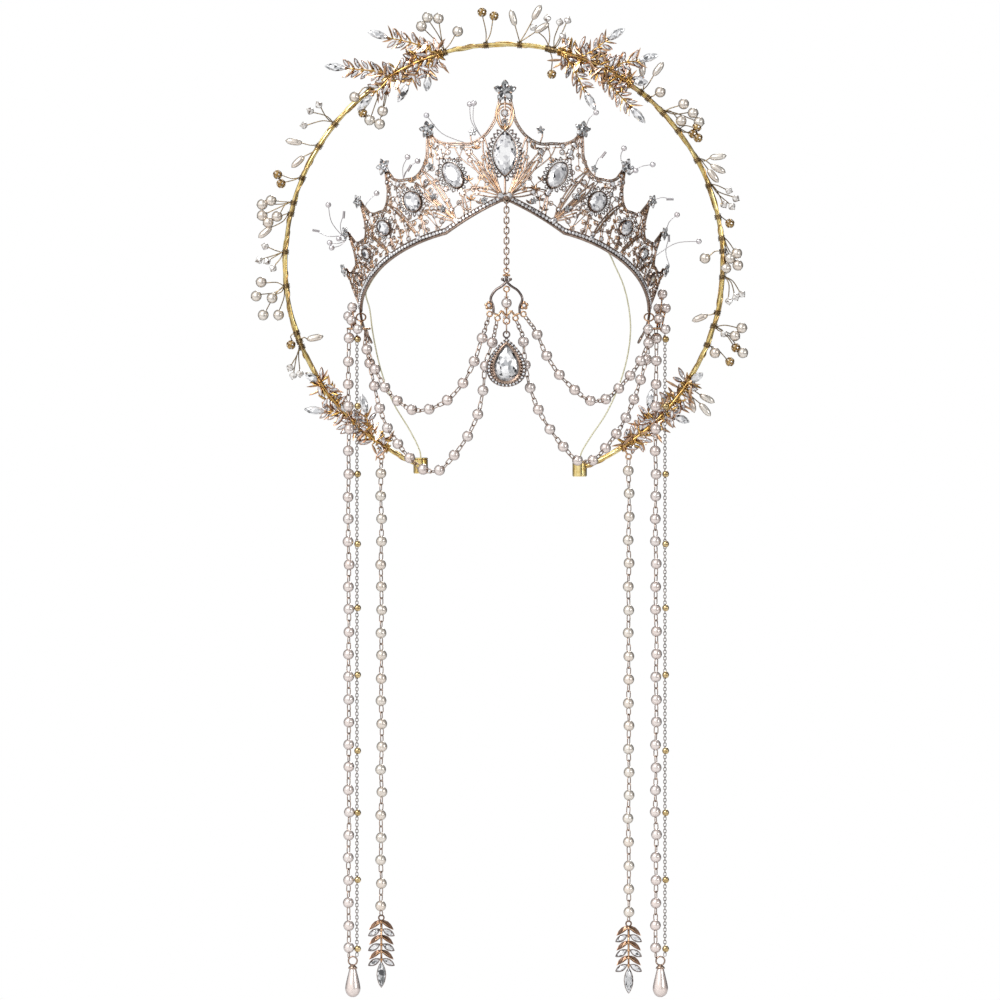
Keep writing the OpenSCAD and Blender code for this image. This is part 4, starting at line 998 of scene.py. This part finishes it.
DISC_X, DISC_Y, DISC_TOP, DISC_T = (-80.5, 82.5), 4.5, -8.5, 1.2
DISC_LOW = DISC_TOP - DISC_T
OUTER_X, CHAIN_X, OUTER_Y, OUTER_TOP, OUTER_N, OUTER_PITCH = (-86, 83), (-81.5, 88), 4, -14.5, 28, 12.42
INNER_X, INNER_TOP, INNER_N, INNER_PITCH, LOOP_Z = (-68.3, 68.3), (-88.5, -87), 20, (12.59, 12.84), -79.5
RING_Z, RING_R, PEARL_TOP, PEARL_R, SWAG_FRONT = -357, 2.4, -360.4, 3, -55.5
QUARTER = np.array([[1, 0, 0, 0], [0, 0, -1, 0], [0, 1, 0, 0], [0, 0, 0, 1]])
# Swags: name, way in x and z, number of pearls, depth at the side, side, and ring of the chandelier
SWAGS = [
    ("left_upper", [(-76, -20.5), (-65.5, -42), (-48.5, -54.5), (-28.5, -46.5), (-16.5, -27), (-12.5, -15)],
     10, -1, 0, 4),
    ("left_lower", [(-74.5, -28), (-65, -63), (-42, -88), (-25.5, -76), (-14, -54), (-10.5, -29),
                    (-7, -17.5)], 14, 8, 0, 2),
    ("right_upper", [(79, -17), (75, -26), (62.5, -42), (48, -49.5), (28, -33), (17.5, -13)], 10, -1, 1, 5),
    ("right_lower", [(78, -26), (75, -36), (67, -57), (54, -76), (41, -82.5), (22, -61), (12.5, -38),
                     (10, -17)], 14, 8, 1, 3)]
CHAIN_BEADS = [-14.9, -51.7, -89.1, -127.6, -162.8, -199.6, -241.4, -275.5, -312.4, -350.4]
TEARDROP = [(0.1, -16.6), (1.2, -16.45), (2.4, -15.8), (3.4, -14.7), (4.05, -13.2), (4.2, -11.8),
            (4.05, -10.2), (3.65, -8.2), (3.1, -5.8), (2.5, -3.4), (2.0, -1.4), (1.6, -0.3), (0.9, 0.0),
            (0.1, 0.0)]
PEARL_CAP = [(0.2, -0.4), (2.2, -1.1), (2.6, -1.1), (2.3, -0.2), (1.2, 0.8), (0.9, 1.35), (0.2, 1.4)]


def swag_places(way, n, back):
    """Even places of n pearls along a way that goes back to the side of the head."""
    q = []
    for x, z in curve(way, 8):
        u = max(0, min(1, (x - way[0][0]) / (way[-1][0] - way[0][0])))
        q.append(vec(x, mix(back, SWAG_FRONT, sin(pi / 2 * u)), z))
    run = distances(q)
    stops = [run[-1] * i / (n - 1) for i in range(n)]
    return [vec(*[np.interp(s, run, axis) for axis in np.transpose(q)]) for s in stops]


for name, way, n, back, side, ring in SWAGS:
    links, pearls = bags(2)
    p = swag_places(way, n, back)
    t = directions(p)
    x, z, r = CHAND_RINGS[ring]
    start = vec(DISC_X[side] + (-4.2 if side else 4.2), DISC_Y + copysign(2.6, back - 4), DISC_LOW - 0.75)
    end = drop_point(x, z)
    end = end + (r + 0.45) * unit(p[-1] - end)
    linkage(links, start, p[0] - t[0] * PEARL_R)
    for i in range(n - 1):
        linkage(links, p[i] + t[i] * PEARL_R, p[i + 1] - t[i + 1] * PEARL_R, turn=i)
    linkage(links, p[-1] + t[-1] * PEARL_R, end)
    for q, d in zip(p, t):
        pearls.add(BALL_FINE, upright(q), PEARL_R)
        across = (0, 1, 0) if abs(d[1]) < 0.9 else (1, 0, 0)
        for k in (-1, 1):
            links.add(torus(0.62, 0.4, 10, 4), place(q + k * d * (PEARL_R - 0.05), across, d) @ QUARTER)
    pieces(name, ("swag_links", links, ROSE, "swag_thread"), ("swag_beads", pearls, PEARL, "swag_pearls"))


def strand(x, y, top, n, pitch, start, end):
    """Pearls on eye links, one below the other; each pearl hangs a little to one side."""
    links, pearls = bags(2)
    p = [vec(x + draw(-0.4, 0.4), y, top - i * pitch + draw(-0.3, 0.3)) for i in range(n)]
    for q in p:
        pearls.add(BALL_FINE, upright(q), PEARL_R)
    stops = [vec(x, y, start)] + p + [vec(x, y, end)]
    for i in range(n + 1):
        u = unit(stops[i + 1] - stops[i])
        a = stops[i] + (u * PEARL_R if i else 0)
        linkage(links, a, stops[i + 1] - (u * PEARL_R if i < n else 0), turn=i * i // 3)
    return links, pearls


for side, label in enumerate(LABELS):
    links, pearls = strand(OUTER_X[side], OUTER_Y, OUTER_TOP, OUTER_N, OUTER_PITCH, DISC_LOW,
                           RING_Z + RING_R - 0.4)
    middle, x = (OUTER_X[side] + CHAIN_X[side]) / 2, CHAIN_X[side]
    drop, fine, balls = bags(3)
    links.add(torus(RING_R, 0.9), upright((middle, OUTER_Y, RING_Z)))
    links.add(lathe(PEARL_CAP, 16), upright((middle, OUTER_Y, PEARL_TOP + 0.2)))
    drop.add(lathe(curve(TEARDROP, 3), 28), upright((middle, OUTER_Y, PEARL_TOP)))
    linkage(fine, vec(x, OUTER_Y, DISC_LOW), vec(x, OUTER_Y, RING_Z + 2.7), 1.7, 1.9, 0.45, 0, 0)
    for z in CHAIN_BEADS:
        balls.add(BALL_FINE, upright((x + 0.4, OUTER_Y, z)), 1.9)
    pieces(label, ("outer_links", links, ROSE, "outer_thread"),
           ("outer_beads", pearls, PEARL, "outer_pearls"), ("outer_drop", drop, PEARL, "pearl_drop"),
           ("cable_chain", fine, STEELY, "fine_chain"), ("chain_beads", balls, GOLD))
    top = INNER_TOP[side]
    links, pearls = strand(INNER_X[side], LEAF_Y, top, INNER_N, INNER_PITCH[side], LOOP_Z - 1.2,
                           top - (INNER_N - 1) * INNER_PITCH[side] - 5.0)
    pieces(label, ("inner_links", links, ROSE, "inner_thread"),
           ("inner_beads", pearls, CREAM, "inner_pearls"))

# Leaf drops

LEAF_DROP_L = 40.5


def bowed(shape, by):
    """The same leaf, its tip bent sideways."""
    v, f = shape
    v = v.copy()
    v[:, 0] += by * (v[:, 1] / v[:, 1].max()) ** 2
    return v, f


def leaflet(metal_bag, stone_bag, m, l, w, edge=0.32):
    """Leaf-shaped setting with a pointed stone in it, its foot at m and its tip along y."""
    c = shifted(m, y=l / 2)
    section = [(-0.12, 0.4), (edge, 0.4), (edge, -0.45), (0, -0.45)]
    metal_bag.add(bezel(marquise, w - 0.4, l - 0.4, 16, section), c)
    stone_bag.add(brilliant(marquise, w - 0.3, l - 0.5, 6, 0.55, 0.4), shifted(c, z=0.1))
    for x, y in ((-0.36, 0.05), (0.36, 0.05), (0, 0.44)):
        metal_bag.add(STUD, shifted(c, x * w, y * l, 0.45), 0.3)


for side, label in enumerate(LABELS):
    leaves, frames, stems, stones, point = bags(5)
    top = INNER_TOP[side] - (INNER_N - 1) * INNER_PITCH[side] - 4.6
    foot = facing_front((INNER_X[side], LEAF_Y, top))
    leaves.add(torus(1.45, 0.85), upright((INNER_X[side], LEAF_Y, top - 1.9)))
    stems.add(tube([foot[:3, 3] - (0, 0, 3.2), foot[:3, 3] - (0, 0, LEAF_DROP_L - 14)], 1.4, 8, 0.8))
    for k in range(6):
        stems.add(BALL, shifted(foot, y=-4.4 - k * 4.1, z=0.5), 0.95)
        for way in (-1, 1):
            m = shifted(shifted(foot, y=-3.6 - k * 4.1), turn=way * (112 if k % 2 == 0 else 120))
            if k % 2 == 0:
                leaves.add(bowed(leaf(8.1, 2.9, 0.9, 0.8), way * -2.0), m)
                stems.add(leaf(4.6, 1.2, 0.5, 0.6), shifted(m, x=way * -0.3, z=0.6, turn=way * 10))
            else:
                leaflet(frames, stones, shifted(m, y=1.0), 7.2, 3.2, 0.5)
    m = shifted(foot, y=-LEAF_DROP_L + 7.2)
    point.add(brilliant(marquise, 4.8, 14.2, 8, 1.3, 1.2), m)
    leaves.add(bezel(marquise, 4.8, 14.0, 24, [(0, 0.3), (0.25, 0.3), (0.25, -0.6), (0, -0.6)]), m)
    pieces(label, ("leaf_drop_metal", leaves, UMBER, "leaf_drop"), ("leaf_drop_frames", frames, DUSKY),
           ("leaf_drop_stem", stems, COPPER), ("leaf_drop_stones", stones, FOIL, "leaf_drop_stone"),
           ("leaf_drop_point", point, DARK_STONES))

# End clusters

CLUSTERS = [[(-84, 1, 2.7), (-86.3, 6.8, -2.2), (-81, -4.2, -9.4), (-84.5, 2, -4.5)],
            [(86.6, 3, 10), (84.4, 7.5, 2.2), (88.5, 4, 2.2), (84.6, 0.5, -3.6), (88.3, -1.2, -9.4),
             (78.7, -3, -9.4)]]
DISC = [(0.2, 0), (6.1, 0), (6.5, 0.35), (6.5, 0.85), (6.1, 1.2), (4.2, 1.0), (0.2, 1.2)]
HOOK_A = 94
for side, label in enumerate(LABELS):
    fittings, round_pearls = bags(2)
    disc = vec(DISC_X[side], DISC_Y, DISC_LOW)
    fittings.add(lathe(DISC, 40), upright(disc))
    for x, y in circle(20):
        fittings.add(STUD, upright(disc + (6.2 * x, 6.2 * y, 0.6)), 0.55)
    hook = shell((1 if side else -1) * HOOK_A, ARM_MID)
    fittings.add(torus(2.6, 0.9), place(hook + (0, 0, -0.6), (0, sin(TILT), cos(TILT))))
    fittings.add(tube([hook + (0, -1.5, -2.7), vec(hook[0], hook[1] - 1.5, DISC_TOP - 0.4)], 1.0, 8))
    for p in CLUSTERS[side]:
        p = vec(*p)
        round_pearls.add(BALL_FINE, upright(p), 2.75)
        fittings.add(tube([disc + ((p[0] - disc[0]) * 0.6, (p[1] - disc[1]) * 0.6, 0.4), p], 0.9, 6))
        fittings.add(lathe([(0.1, -0.2), (1.5, 0.1), (1.2, 0.6), (0.1, 0.8)], 10),
                     place(p - unit(p - disc) * 3.1, unit(p - disc)))
    pieces(label, ("end_fittings", fittings, COPPER, "end_cluster"), ("end_pearls", round_pearls, PEARL))

# Halo: two thick wires, two thinner ones wound round them, and an end cap on each side

CAP_A, CAP_L, CAP_D, CAP_GAP = (-157.6, 159.8), 8.8, 8.0, 1.1


def ring_way(a):
    """Direction from the halo's middle to its place at an angle from the top, in degrees."""
    return vec(sin(radians(a)), 0, cos(radians(a)))


def round_band(a, r, turn):
    """Point r from the band's middle line, turned about it."""
    return HALO + (HALO_R + r * cos(turn)) * ring_way(a) + vec(0, -r * sin(turn), 0)


def wrap(bag, start, end, r, pitch, d, phase=0.0, wobble=0.0, sides=6, step=1.1):
    """Wire wound round the band from one angle to another."""
    length = radians(abs(end - start)) * HALO_R
    n = max(4, int(length / min(step, pitch / 7)))
    s = np.linspace(0, length, n)
    turn = phase + TURN * s / pitch
    turn = turn + wobble * np.sin(s / 9.3 + phase * 2.1) + wobble * np.sin(s / 4.1 + phase)
    bag.add(tube([round_band(a, r, v) for a, v in zip(np.linspace(start, end, n), turn)], d, sides))


band, windings = bags(2)
reach = degrees(CAP_GAP / HALO_R)
for bag, r, pitch, d, phase, wobble, sides, step in [
        (band, 0.1, 60, 2.4, 0, 0.3, 12, 2.0), (band, 1.1, 70, 1.0, 0, 0.6, 7, 1.6),
        (windings, 1.15, 40, 1.1, 2.1, 0.9, 7, 1.6), (windings, 1.35, 27, 0.7, 4.2, 0.9, 7, 1.6)]:
    wrap(bag, CAP_A[0] + reach, CAP_A[1] - reach, r, pitch, d, phase, wobble, sides, step)
piece("halo_windings", windings, BRONZE)
piece("halo_band", band, YELLOW, "halo_ring")
r, l = CAP_D / 2, CAP_L / 2
cap_shape = lathe([(0.1, -l), (r - 0.5, -l), (r, -l + 0.5), (r, l - 1.3), (r - 0.3, l - 1.1), (r, l - 0.9),
                   (r, l - 0.4), (r - 0.4, l), (1.0, l), (0.6, l - 0.3), (0.1, l - 0.3)], 36)
for side, label in enumerate(LABELS):
    cap = Bag()
    cap.add(cap_shape, upright(HALO + HALO_R * ring_way(CAP_A[side])))
    pieces(label, ("halo_cap", cap, YELLOW, "end_cap"))

# Leaf clusters


def facing(o, a):
    """Place in the front plane with y at angle a from straight up, x to its right and z toward the front."""
    a = radians(a)
    return place(o, FRONT, (cos(a), 0, -sin(a)))


def tipped(m, about_y=0.0, about_x=0.0):
    c, s = cos(radians(about_y)), sin(radians(about_y))
    e, g = cos(radians(about_x)), sin(radians(about_x))
    t = np.array([[c, 0, s, 0], [0, 1, 0, 0], [-s, 0, c, 0], [0, 0, 0, 1]])
    u = np.array([[1, 0, 0, 0], [0, e, -g, 0], [0, g, e, 0], [0, 0, 0, 1]])
    return m @ u @ t


def band_point(a, y=LEAF_Y, r=HALO_R):
    o = ring_way(a)
    return vec(HALO[0] + r * o[0], y, HALO[2] + r * o[2])


# Clusters: name, branches as root angle, reach and turn from the radius, ends of the spine, and the side of
# the strand that hangs from it
LEAF_CLUSTERS = [
    ("top_left", [(-30, 39, -54), (-17, 42, -56), (-22, 27, -128), (-31, 27, -105), (-19.5, 19.5, -153)],
     -34, -17, None),
    ("top_right", [(20, 30, 38), (28, 30, 46), (23, 46, 115), (15.5, 37, 135), (34, 12, 58)], 15, 35, None),
    ("low_left", [(-133.5, 23, 50), (-124, 12, 70), (-143, 25.5, 129), (-138, 18, 100)], -147.5, -122, 0),
    ("low_right", [(124, 12, -70), (133, 15, -22), (140, 24, -130), (145, 18, -105)], 122, 147, 1)]
TIP_CUP = lathe([(0.2, -0.8), (0.75, -0.4), (0.95, 0.8), (0.5, 1.1)], 8)
for label, branches, start, stop, loop_side in LEAF_CLUSTERS:
    leaves, frames, stones, wraps, points = bags(5)
    spine = [band_point(a, LEAF_Y + 0.5 * sin(a * 1.7)) for a in np.linspace(start, stop, 14)]
    wraps.add(tube(spine, 1.6, 8))
    for k in range(5):
        a = mix(start, stop, (k + 0.5) / 5) + draw(-0.6, 0.6)
        wrap(wraps, a - 1.5, a + 1.5, 2.3, draw(1.3, 1.9), 0.6, draw(0, 6), 0.1, 5, 0.22)
    for a in (start, stop):
        wrap(wraps, a - 0.75, a + 0.75, 2.4, 0.78, 0.7, 0, 0, 6, 0.12)
    for root, reach, turn in branches:
        m = facing(band_point(root), root + turn)
        stem = max(reach - (12.5 if reach > 20 else 9.5), 3)
        bow = draw(-1.2, 1.2)
        way = [m @ vec(bow * sin(pi * u), stem * u, 0.5 * sin(pi * u), 1) for u in np.linspace(0, 1, 8)]
        wraps.add(tube([w[:3] for w in way], 1.1, 7, 0.7))
        s, k = 1.2, 0
        while s < stem - 0.3:
            q = shifted(m, x=bow * sin(pi * (s / stem)), y=s, z=0.4)
            for side in (-1, 1):
                e = tipped(shifted(q, turn=side * draw(40, 60)), draw(-35, 35))
                if k % 2 == 0:
                    long_leaf = leaf(draw(6.2, 8.2), 1.2, 0.4, draw(-0.3, 0.9))
                    leaves.add(bowed(long_leaf, side * 0.7), e)
                    wraps.add(leaf(draw(2.2, 3.4), 0.9, 0.4, 0.9), shifted(e, z=0.3, turn=side * -18))
                else:
                    leaflet(frames, stones, shifted(e, y=0.9), draw(5.4, 6.6), 2.3)
            s, k = s + 2.6, k + 1
        tip = shifted(m, y=stem + 0.2)
        point_l = reach - stem - 0.2
        leaves.add(TIP_CUP, place(tip[:3, 3], tip[:3, 1]))
        points.add(brilliant(marquise, 4.6, point_l, 6, 1.3, 1.1), shifted(tip, y=point_l / 2))
        for side in (-1, 1):
            leaves.add(leaf(4.4, 1.1, 0.4, 0.2), tipped(shifted(tip, turn=side * 17), 20 * side))
    # single leaves by the band, each on a fine wire
    density, spread = (5.5, 4.5) if loop_side is None else (3.8, 3)
    count = int(abs(stop - start) * density)
    for k in range(count):
        a = mix(start, stop, (k + 0.5) / count)
        way = rng.choice((-1, 1))
        at = band_point(a, LEAF_Y - draw(-0.6, 1.6), HALO_R + way * draw(0, spread))
        e = facing(at, a + (0 if way > 0 else 180) + draw(-75, 75))
        e = tipped(e, draw(-40, 40), draw(-12, 12))
        wraps.add(tube([band_point(a), e[:3, 3] + 0.4 * e[:3, 1]], 0.6, 5))
        if k % 3 == 0:
            leaflet(frames, stones, e, draw(5.2, 7.6), 2.4)
        elif k % 3 == 1:
            leaves.add(leaf(draw(5.5, 9), 1.5, 0.45, draw(-0.2, 0.8)), e)
        else:
            wraps.add(leaf(draw(4, 6.5), 1.6, 0.5, draw(-0.2, 0.8)), e)
    if loop_side is not None:
        foot = band_point(stop if loop_side else start)
        eye = vec(INNER_X[loop_side], LEAF_Y, LOOP_Z)
        leaves.add(torus(1.45, 0.9), upright(eye))
        leaves.add(tube([foot, eye + 1.5 * unit(foot - eye)], 1.1, 8))
    pieces(label, ("leaves", leaves, COPPER, "leaf_cluster"), ("leaf_frames", frames, PINK),
           ("leaf_wraps", wraps, AMBER), ("leaf_stones", stones, STONE), ("leaf_points", points, FOIL))

# Sprays of the halo: the root, the kinds of its beads in turn (p pearl, r long pearl, c clear, g gilt), and
# the beads. Places are counted in steps of STEP right of and below a corner of the front view, where the
# origin is at MID_RIGHT and MID_BELOW.

STEP, MID_RIGHT, MID_BELOW = 0.55, 505, 312
SPRAYS = {
    "left": [
        (442, 41, "p", [(427, 15), (421, 24), (438, 16), (457.5, 29)]),
        (330, 119, "c", [(318, 103), (309.5, 109), (303, 123.5)]),
        (314, 142, "r", [(293, 140), (297, 160)]),
        (302, 177, "g", [(276.5, 173), (280, 182)]),
        (288, 200, "p", [(270, 199), (261, 203), (261, 214), (276, 215)]),
        (286, 212, "pr", [(267, 221), (264, 231)]),
        (284, 251, "c", [(264, 245), (258, 259), (266, 260), (272, 267)]),
        (285.5, 285, "p", [(260, 281), (255, 295), (271, 297), (262, 314), (277.5, 314)]),
        (297, 332, "g", [(290, 344)]), (302, 346, "c", [(289, 367), (292, 375), (299, 373)]),
        (300, 340, "r", [(314, 337)]),
        (384, 79, "p", [(382, 109), (369, 118), (379, 122)]), (370, 88, "pg", [(354, 95), (362, 111)]),
        (485.5, 38, "g", [(482, 9.8), (494, 13.5)])],
    "right": [
        (520, 37, "r", [(513, 15.5), (537, 10), (542, 25.5)]), (549, 40, "c", [(533.5, 25), (547.5, 16)]),
        (555, 43, "c", [(560, 20), (568, 18), (563, 34)]),
        (551, 46, "g", [(552, 72)]), (644, 87, "r", [(643, 66), (659, 67)]), (650, 95, "p", [(661, 90)]),
        (666, 109, "p", [(684.5, 102), (694, 111), (682, 119), (700, 120)]),
        (680, 128, "g", [(698, 125), (694, 132), (699, 136)]),
        (701, 157, "r", [(719, 155), (719, 167), (714, 174)]),
        (709.5, 184, "c", [(730, 189), (737, 197), (725, 203), (733, 205)]), (716, 216, "g", [(731, 222)]),
        (723, 237, "p", [(738, 252), (739, 264), (731, 257), (727, 267)]), (724, 250, "p", [(706, 257)]),
        (725, 276, "c", [(730, 300), (737, 296), (743, 293)]), (719, 312, "r", [(701, 317)]),
        (717, 326, "cppgp", [(725, 333), (743, 327), (736, 335), (737, 347), (744, 352)]),
        (710, 345, "pg", [(716, 352), (731, 361)]), (690.5, 389, "r", [(693, 404), (708, 398), (706, 409)])]}
# Width and length of each kind
BEAD_SIZES = {"p": (6.0, 6.0), "r": (3.8, 9.2), "c": (4.4, 4.4), "g": (5.6, 5.6)}
LONG = lathe([(0.02, -1.0)] + [((1 - abs(u) ** 2.6) ** 0.5, u) for u in np.linspace(-0.97, 0.97, 14)]
             + [(0.02, 1.0)], 20)
BICONE = hull([(0, 0, -1), (0, 0, 1)] + [(0.98 * x, 0.98 * y, z) for x, y in circle(8) for z in (-0.16, 0.16)]
              + [(0.62 * x, 0.62 * y, z) for x, y in circle(8, 0.5) for z in (-0.66, 0.66)])


def spot(right, below):
    return STEP * (right - MID_RIGHT), STEP * (MID_BELOW - below)


def gilt_bead(gilt, clear, at, d):
    """Metal bead with small ringed stones all over it."""
    for k in range(16):
        high = 1 - 2 * (k + 0.5) / 16
        n = vec((1 - high * high) ** 0.5 * cos(2.4 * k), -high, (1 - high * high) ** 0.5 * sin(2.4 * k))
        m = place(at + n * d * 0.4, n, (0.1, 0.2, 0.97))
        clear.add(ROUND_STONE, m, 0.55)
        gilt.add(torus(0.72, 0.4, 8, 4), m @ place((0, 0, 0.1), (0, 1, 0)))


for label, sprays in SPRAYS.items():
    wires, pearls, clear, gilt = bags(4)
    for right, below, kinds, group in sprays:
        x, z = spot(right, below)
        root = degrees(atan2(x - HALO[0], z - HALO[2]))
        wrap(wires, root - 0.6, root + 0.6, 1.85, 0.72, 0.55, 0, 0, 5, 0.12)
        o = ring_way(root)
        for i, at in enumerate(group):
            kind = kinds[i % len(kinds)]
            d, l = BEAD_SIZES[kind]
            x, z = spot(*at)
            end = vec(x, HALO[1] + draw(-0.6, 0.5), z)
            base = HALO + (HALO_R + copysign(1.6, np.dot(end - HALO, o) - HALO_R)) * o
            u = unit(end - base)
            bend = draw(-1.6, 1.6) * np.cross(u, (0, 1, 0))
            near = end - u * (l / 2 - 0.4)
            if l < norm(end - base) * 1.6:
                wires.add(tube(curve([base - 0.6 * u, mix(base, near, 0.4) + bend, near], 6), 0.62, 5))
            m = place(end, u, (0, 1, 0))
            if kind == "p":
                pearls.add(BALL_FINE, m, d / 2)
                wires.add(BEAD, place(end + u * (l / 2 - 0.05), u), 0.32)
            elif kind == "r":
                pearls.add(LONG, m @ np.diag([d / 2, d / 2, l / 2, 1]))
                wires.add(BEAD, place(end + u * (l / 2 - 0.05), u), 0.3)
            elif kind == "c":
                clear.add(BICONE, m, d / 2)
                for k in (-1, 1):
                    wires.add(BEAD, place(end + k * u * (l / 2 - 0.1), u), 0.34)
            else:
                gilt.add(BALL, m, d * 0.42)
                gilt_bead(gilt, clear, end, d)
    pieces(label, ("spray_wires", wires, OLD, "halo_sprays"), ("spray_pearls", pearls, CREAM),
           ("spray_crystals", clear, WARM), ("spray_gilt_beads", gilt, BRONZE))

# Clear beads on fine wires that stand off the tiara: the root's x and z, then each bead's x, z and length

TIARA_SPRAYS = [
    (-22, 94.1, [(-42.9, 106.7, 3)]), (-13.8, 96.8, [(-19.3, 112.8, 3), (-17, 113.3, 3)]),
    (-55.6, 72.1, [(-53.3, 84.2, 3), (-47.8, 82, 3), (-52.3, 78.1, 4)]), (-80, 52, [(-70.4, 64.9, 3)]),
    (-90.2, 41.8, [(-97.1, 58.9, 3), (-88.6, 53.4, 4), (-103.9, 44.6, 4)]),
    (-87.7, 36.6, [(-96.3, 38, 3), (-91.3, 40.2, 3), (-95.2, 35.2, 3)]),
    (45.7, 102.3, [(49.8, 108.4, 3)]), (50.6, 79.8, [(53.9, 85.3, 4)]), (62.4, 82.6, [(65.1, 89.1, 3)]),
    (68.8, 73.2, [(71.5, 77, 3), (80.9, 80.3, 3)]),
    (82.5, 61.6, [(90.5, 61.6, 4)]), (88.6, 44.6, [(94.6, 53.4, 3)]), (92.7, 31.6, [(90.2, 40.7, 4)]),
    (83.9, 31.1, [(106.5, 38.7, 3)])]
wires, milky, bugles = bags(3)
tiara_metal = np.vstack(lattice.verts + settings.verts)
for rx, rz, group in TIARA_SPRAYS:
    root = tiara_metal[np.argmin((tiara_metal[:, 0] - rx) ** 2 + (tiara_metal[:, 2] - rz) ** 2)]
    for x, z, l in group:
        end = vec(x, root[1] - 1.5 + 0.12 * norm(vec(x - rx, 0, z - rz)), z)
        bend = 0.12 * norm(end - root) * unit(np.cross(end - root, (0, 1, 0)))
        wires.add(tube(curve([root, mix(root, end, 0.5) + bend, end], 6), 0.44, 5))
        if l > 3:
            u = unit(end - root)
            low, high = end - u * l / 2, end + u * l / 2
            bugles.add(tube([low, low + 0.2 * u, high - 0.2 * u, high], 1.4, 8))
        else:
            milky.add(BALL, upright(end), 1.55)
piece("tiara_spray_wires", wires, NYLON, slot="crystal")
piece("tiara_spray_beads", milky, MILK)
piece("tiara_spray_bugles", bugles, NYLON, flat=True)

low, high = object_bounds()
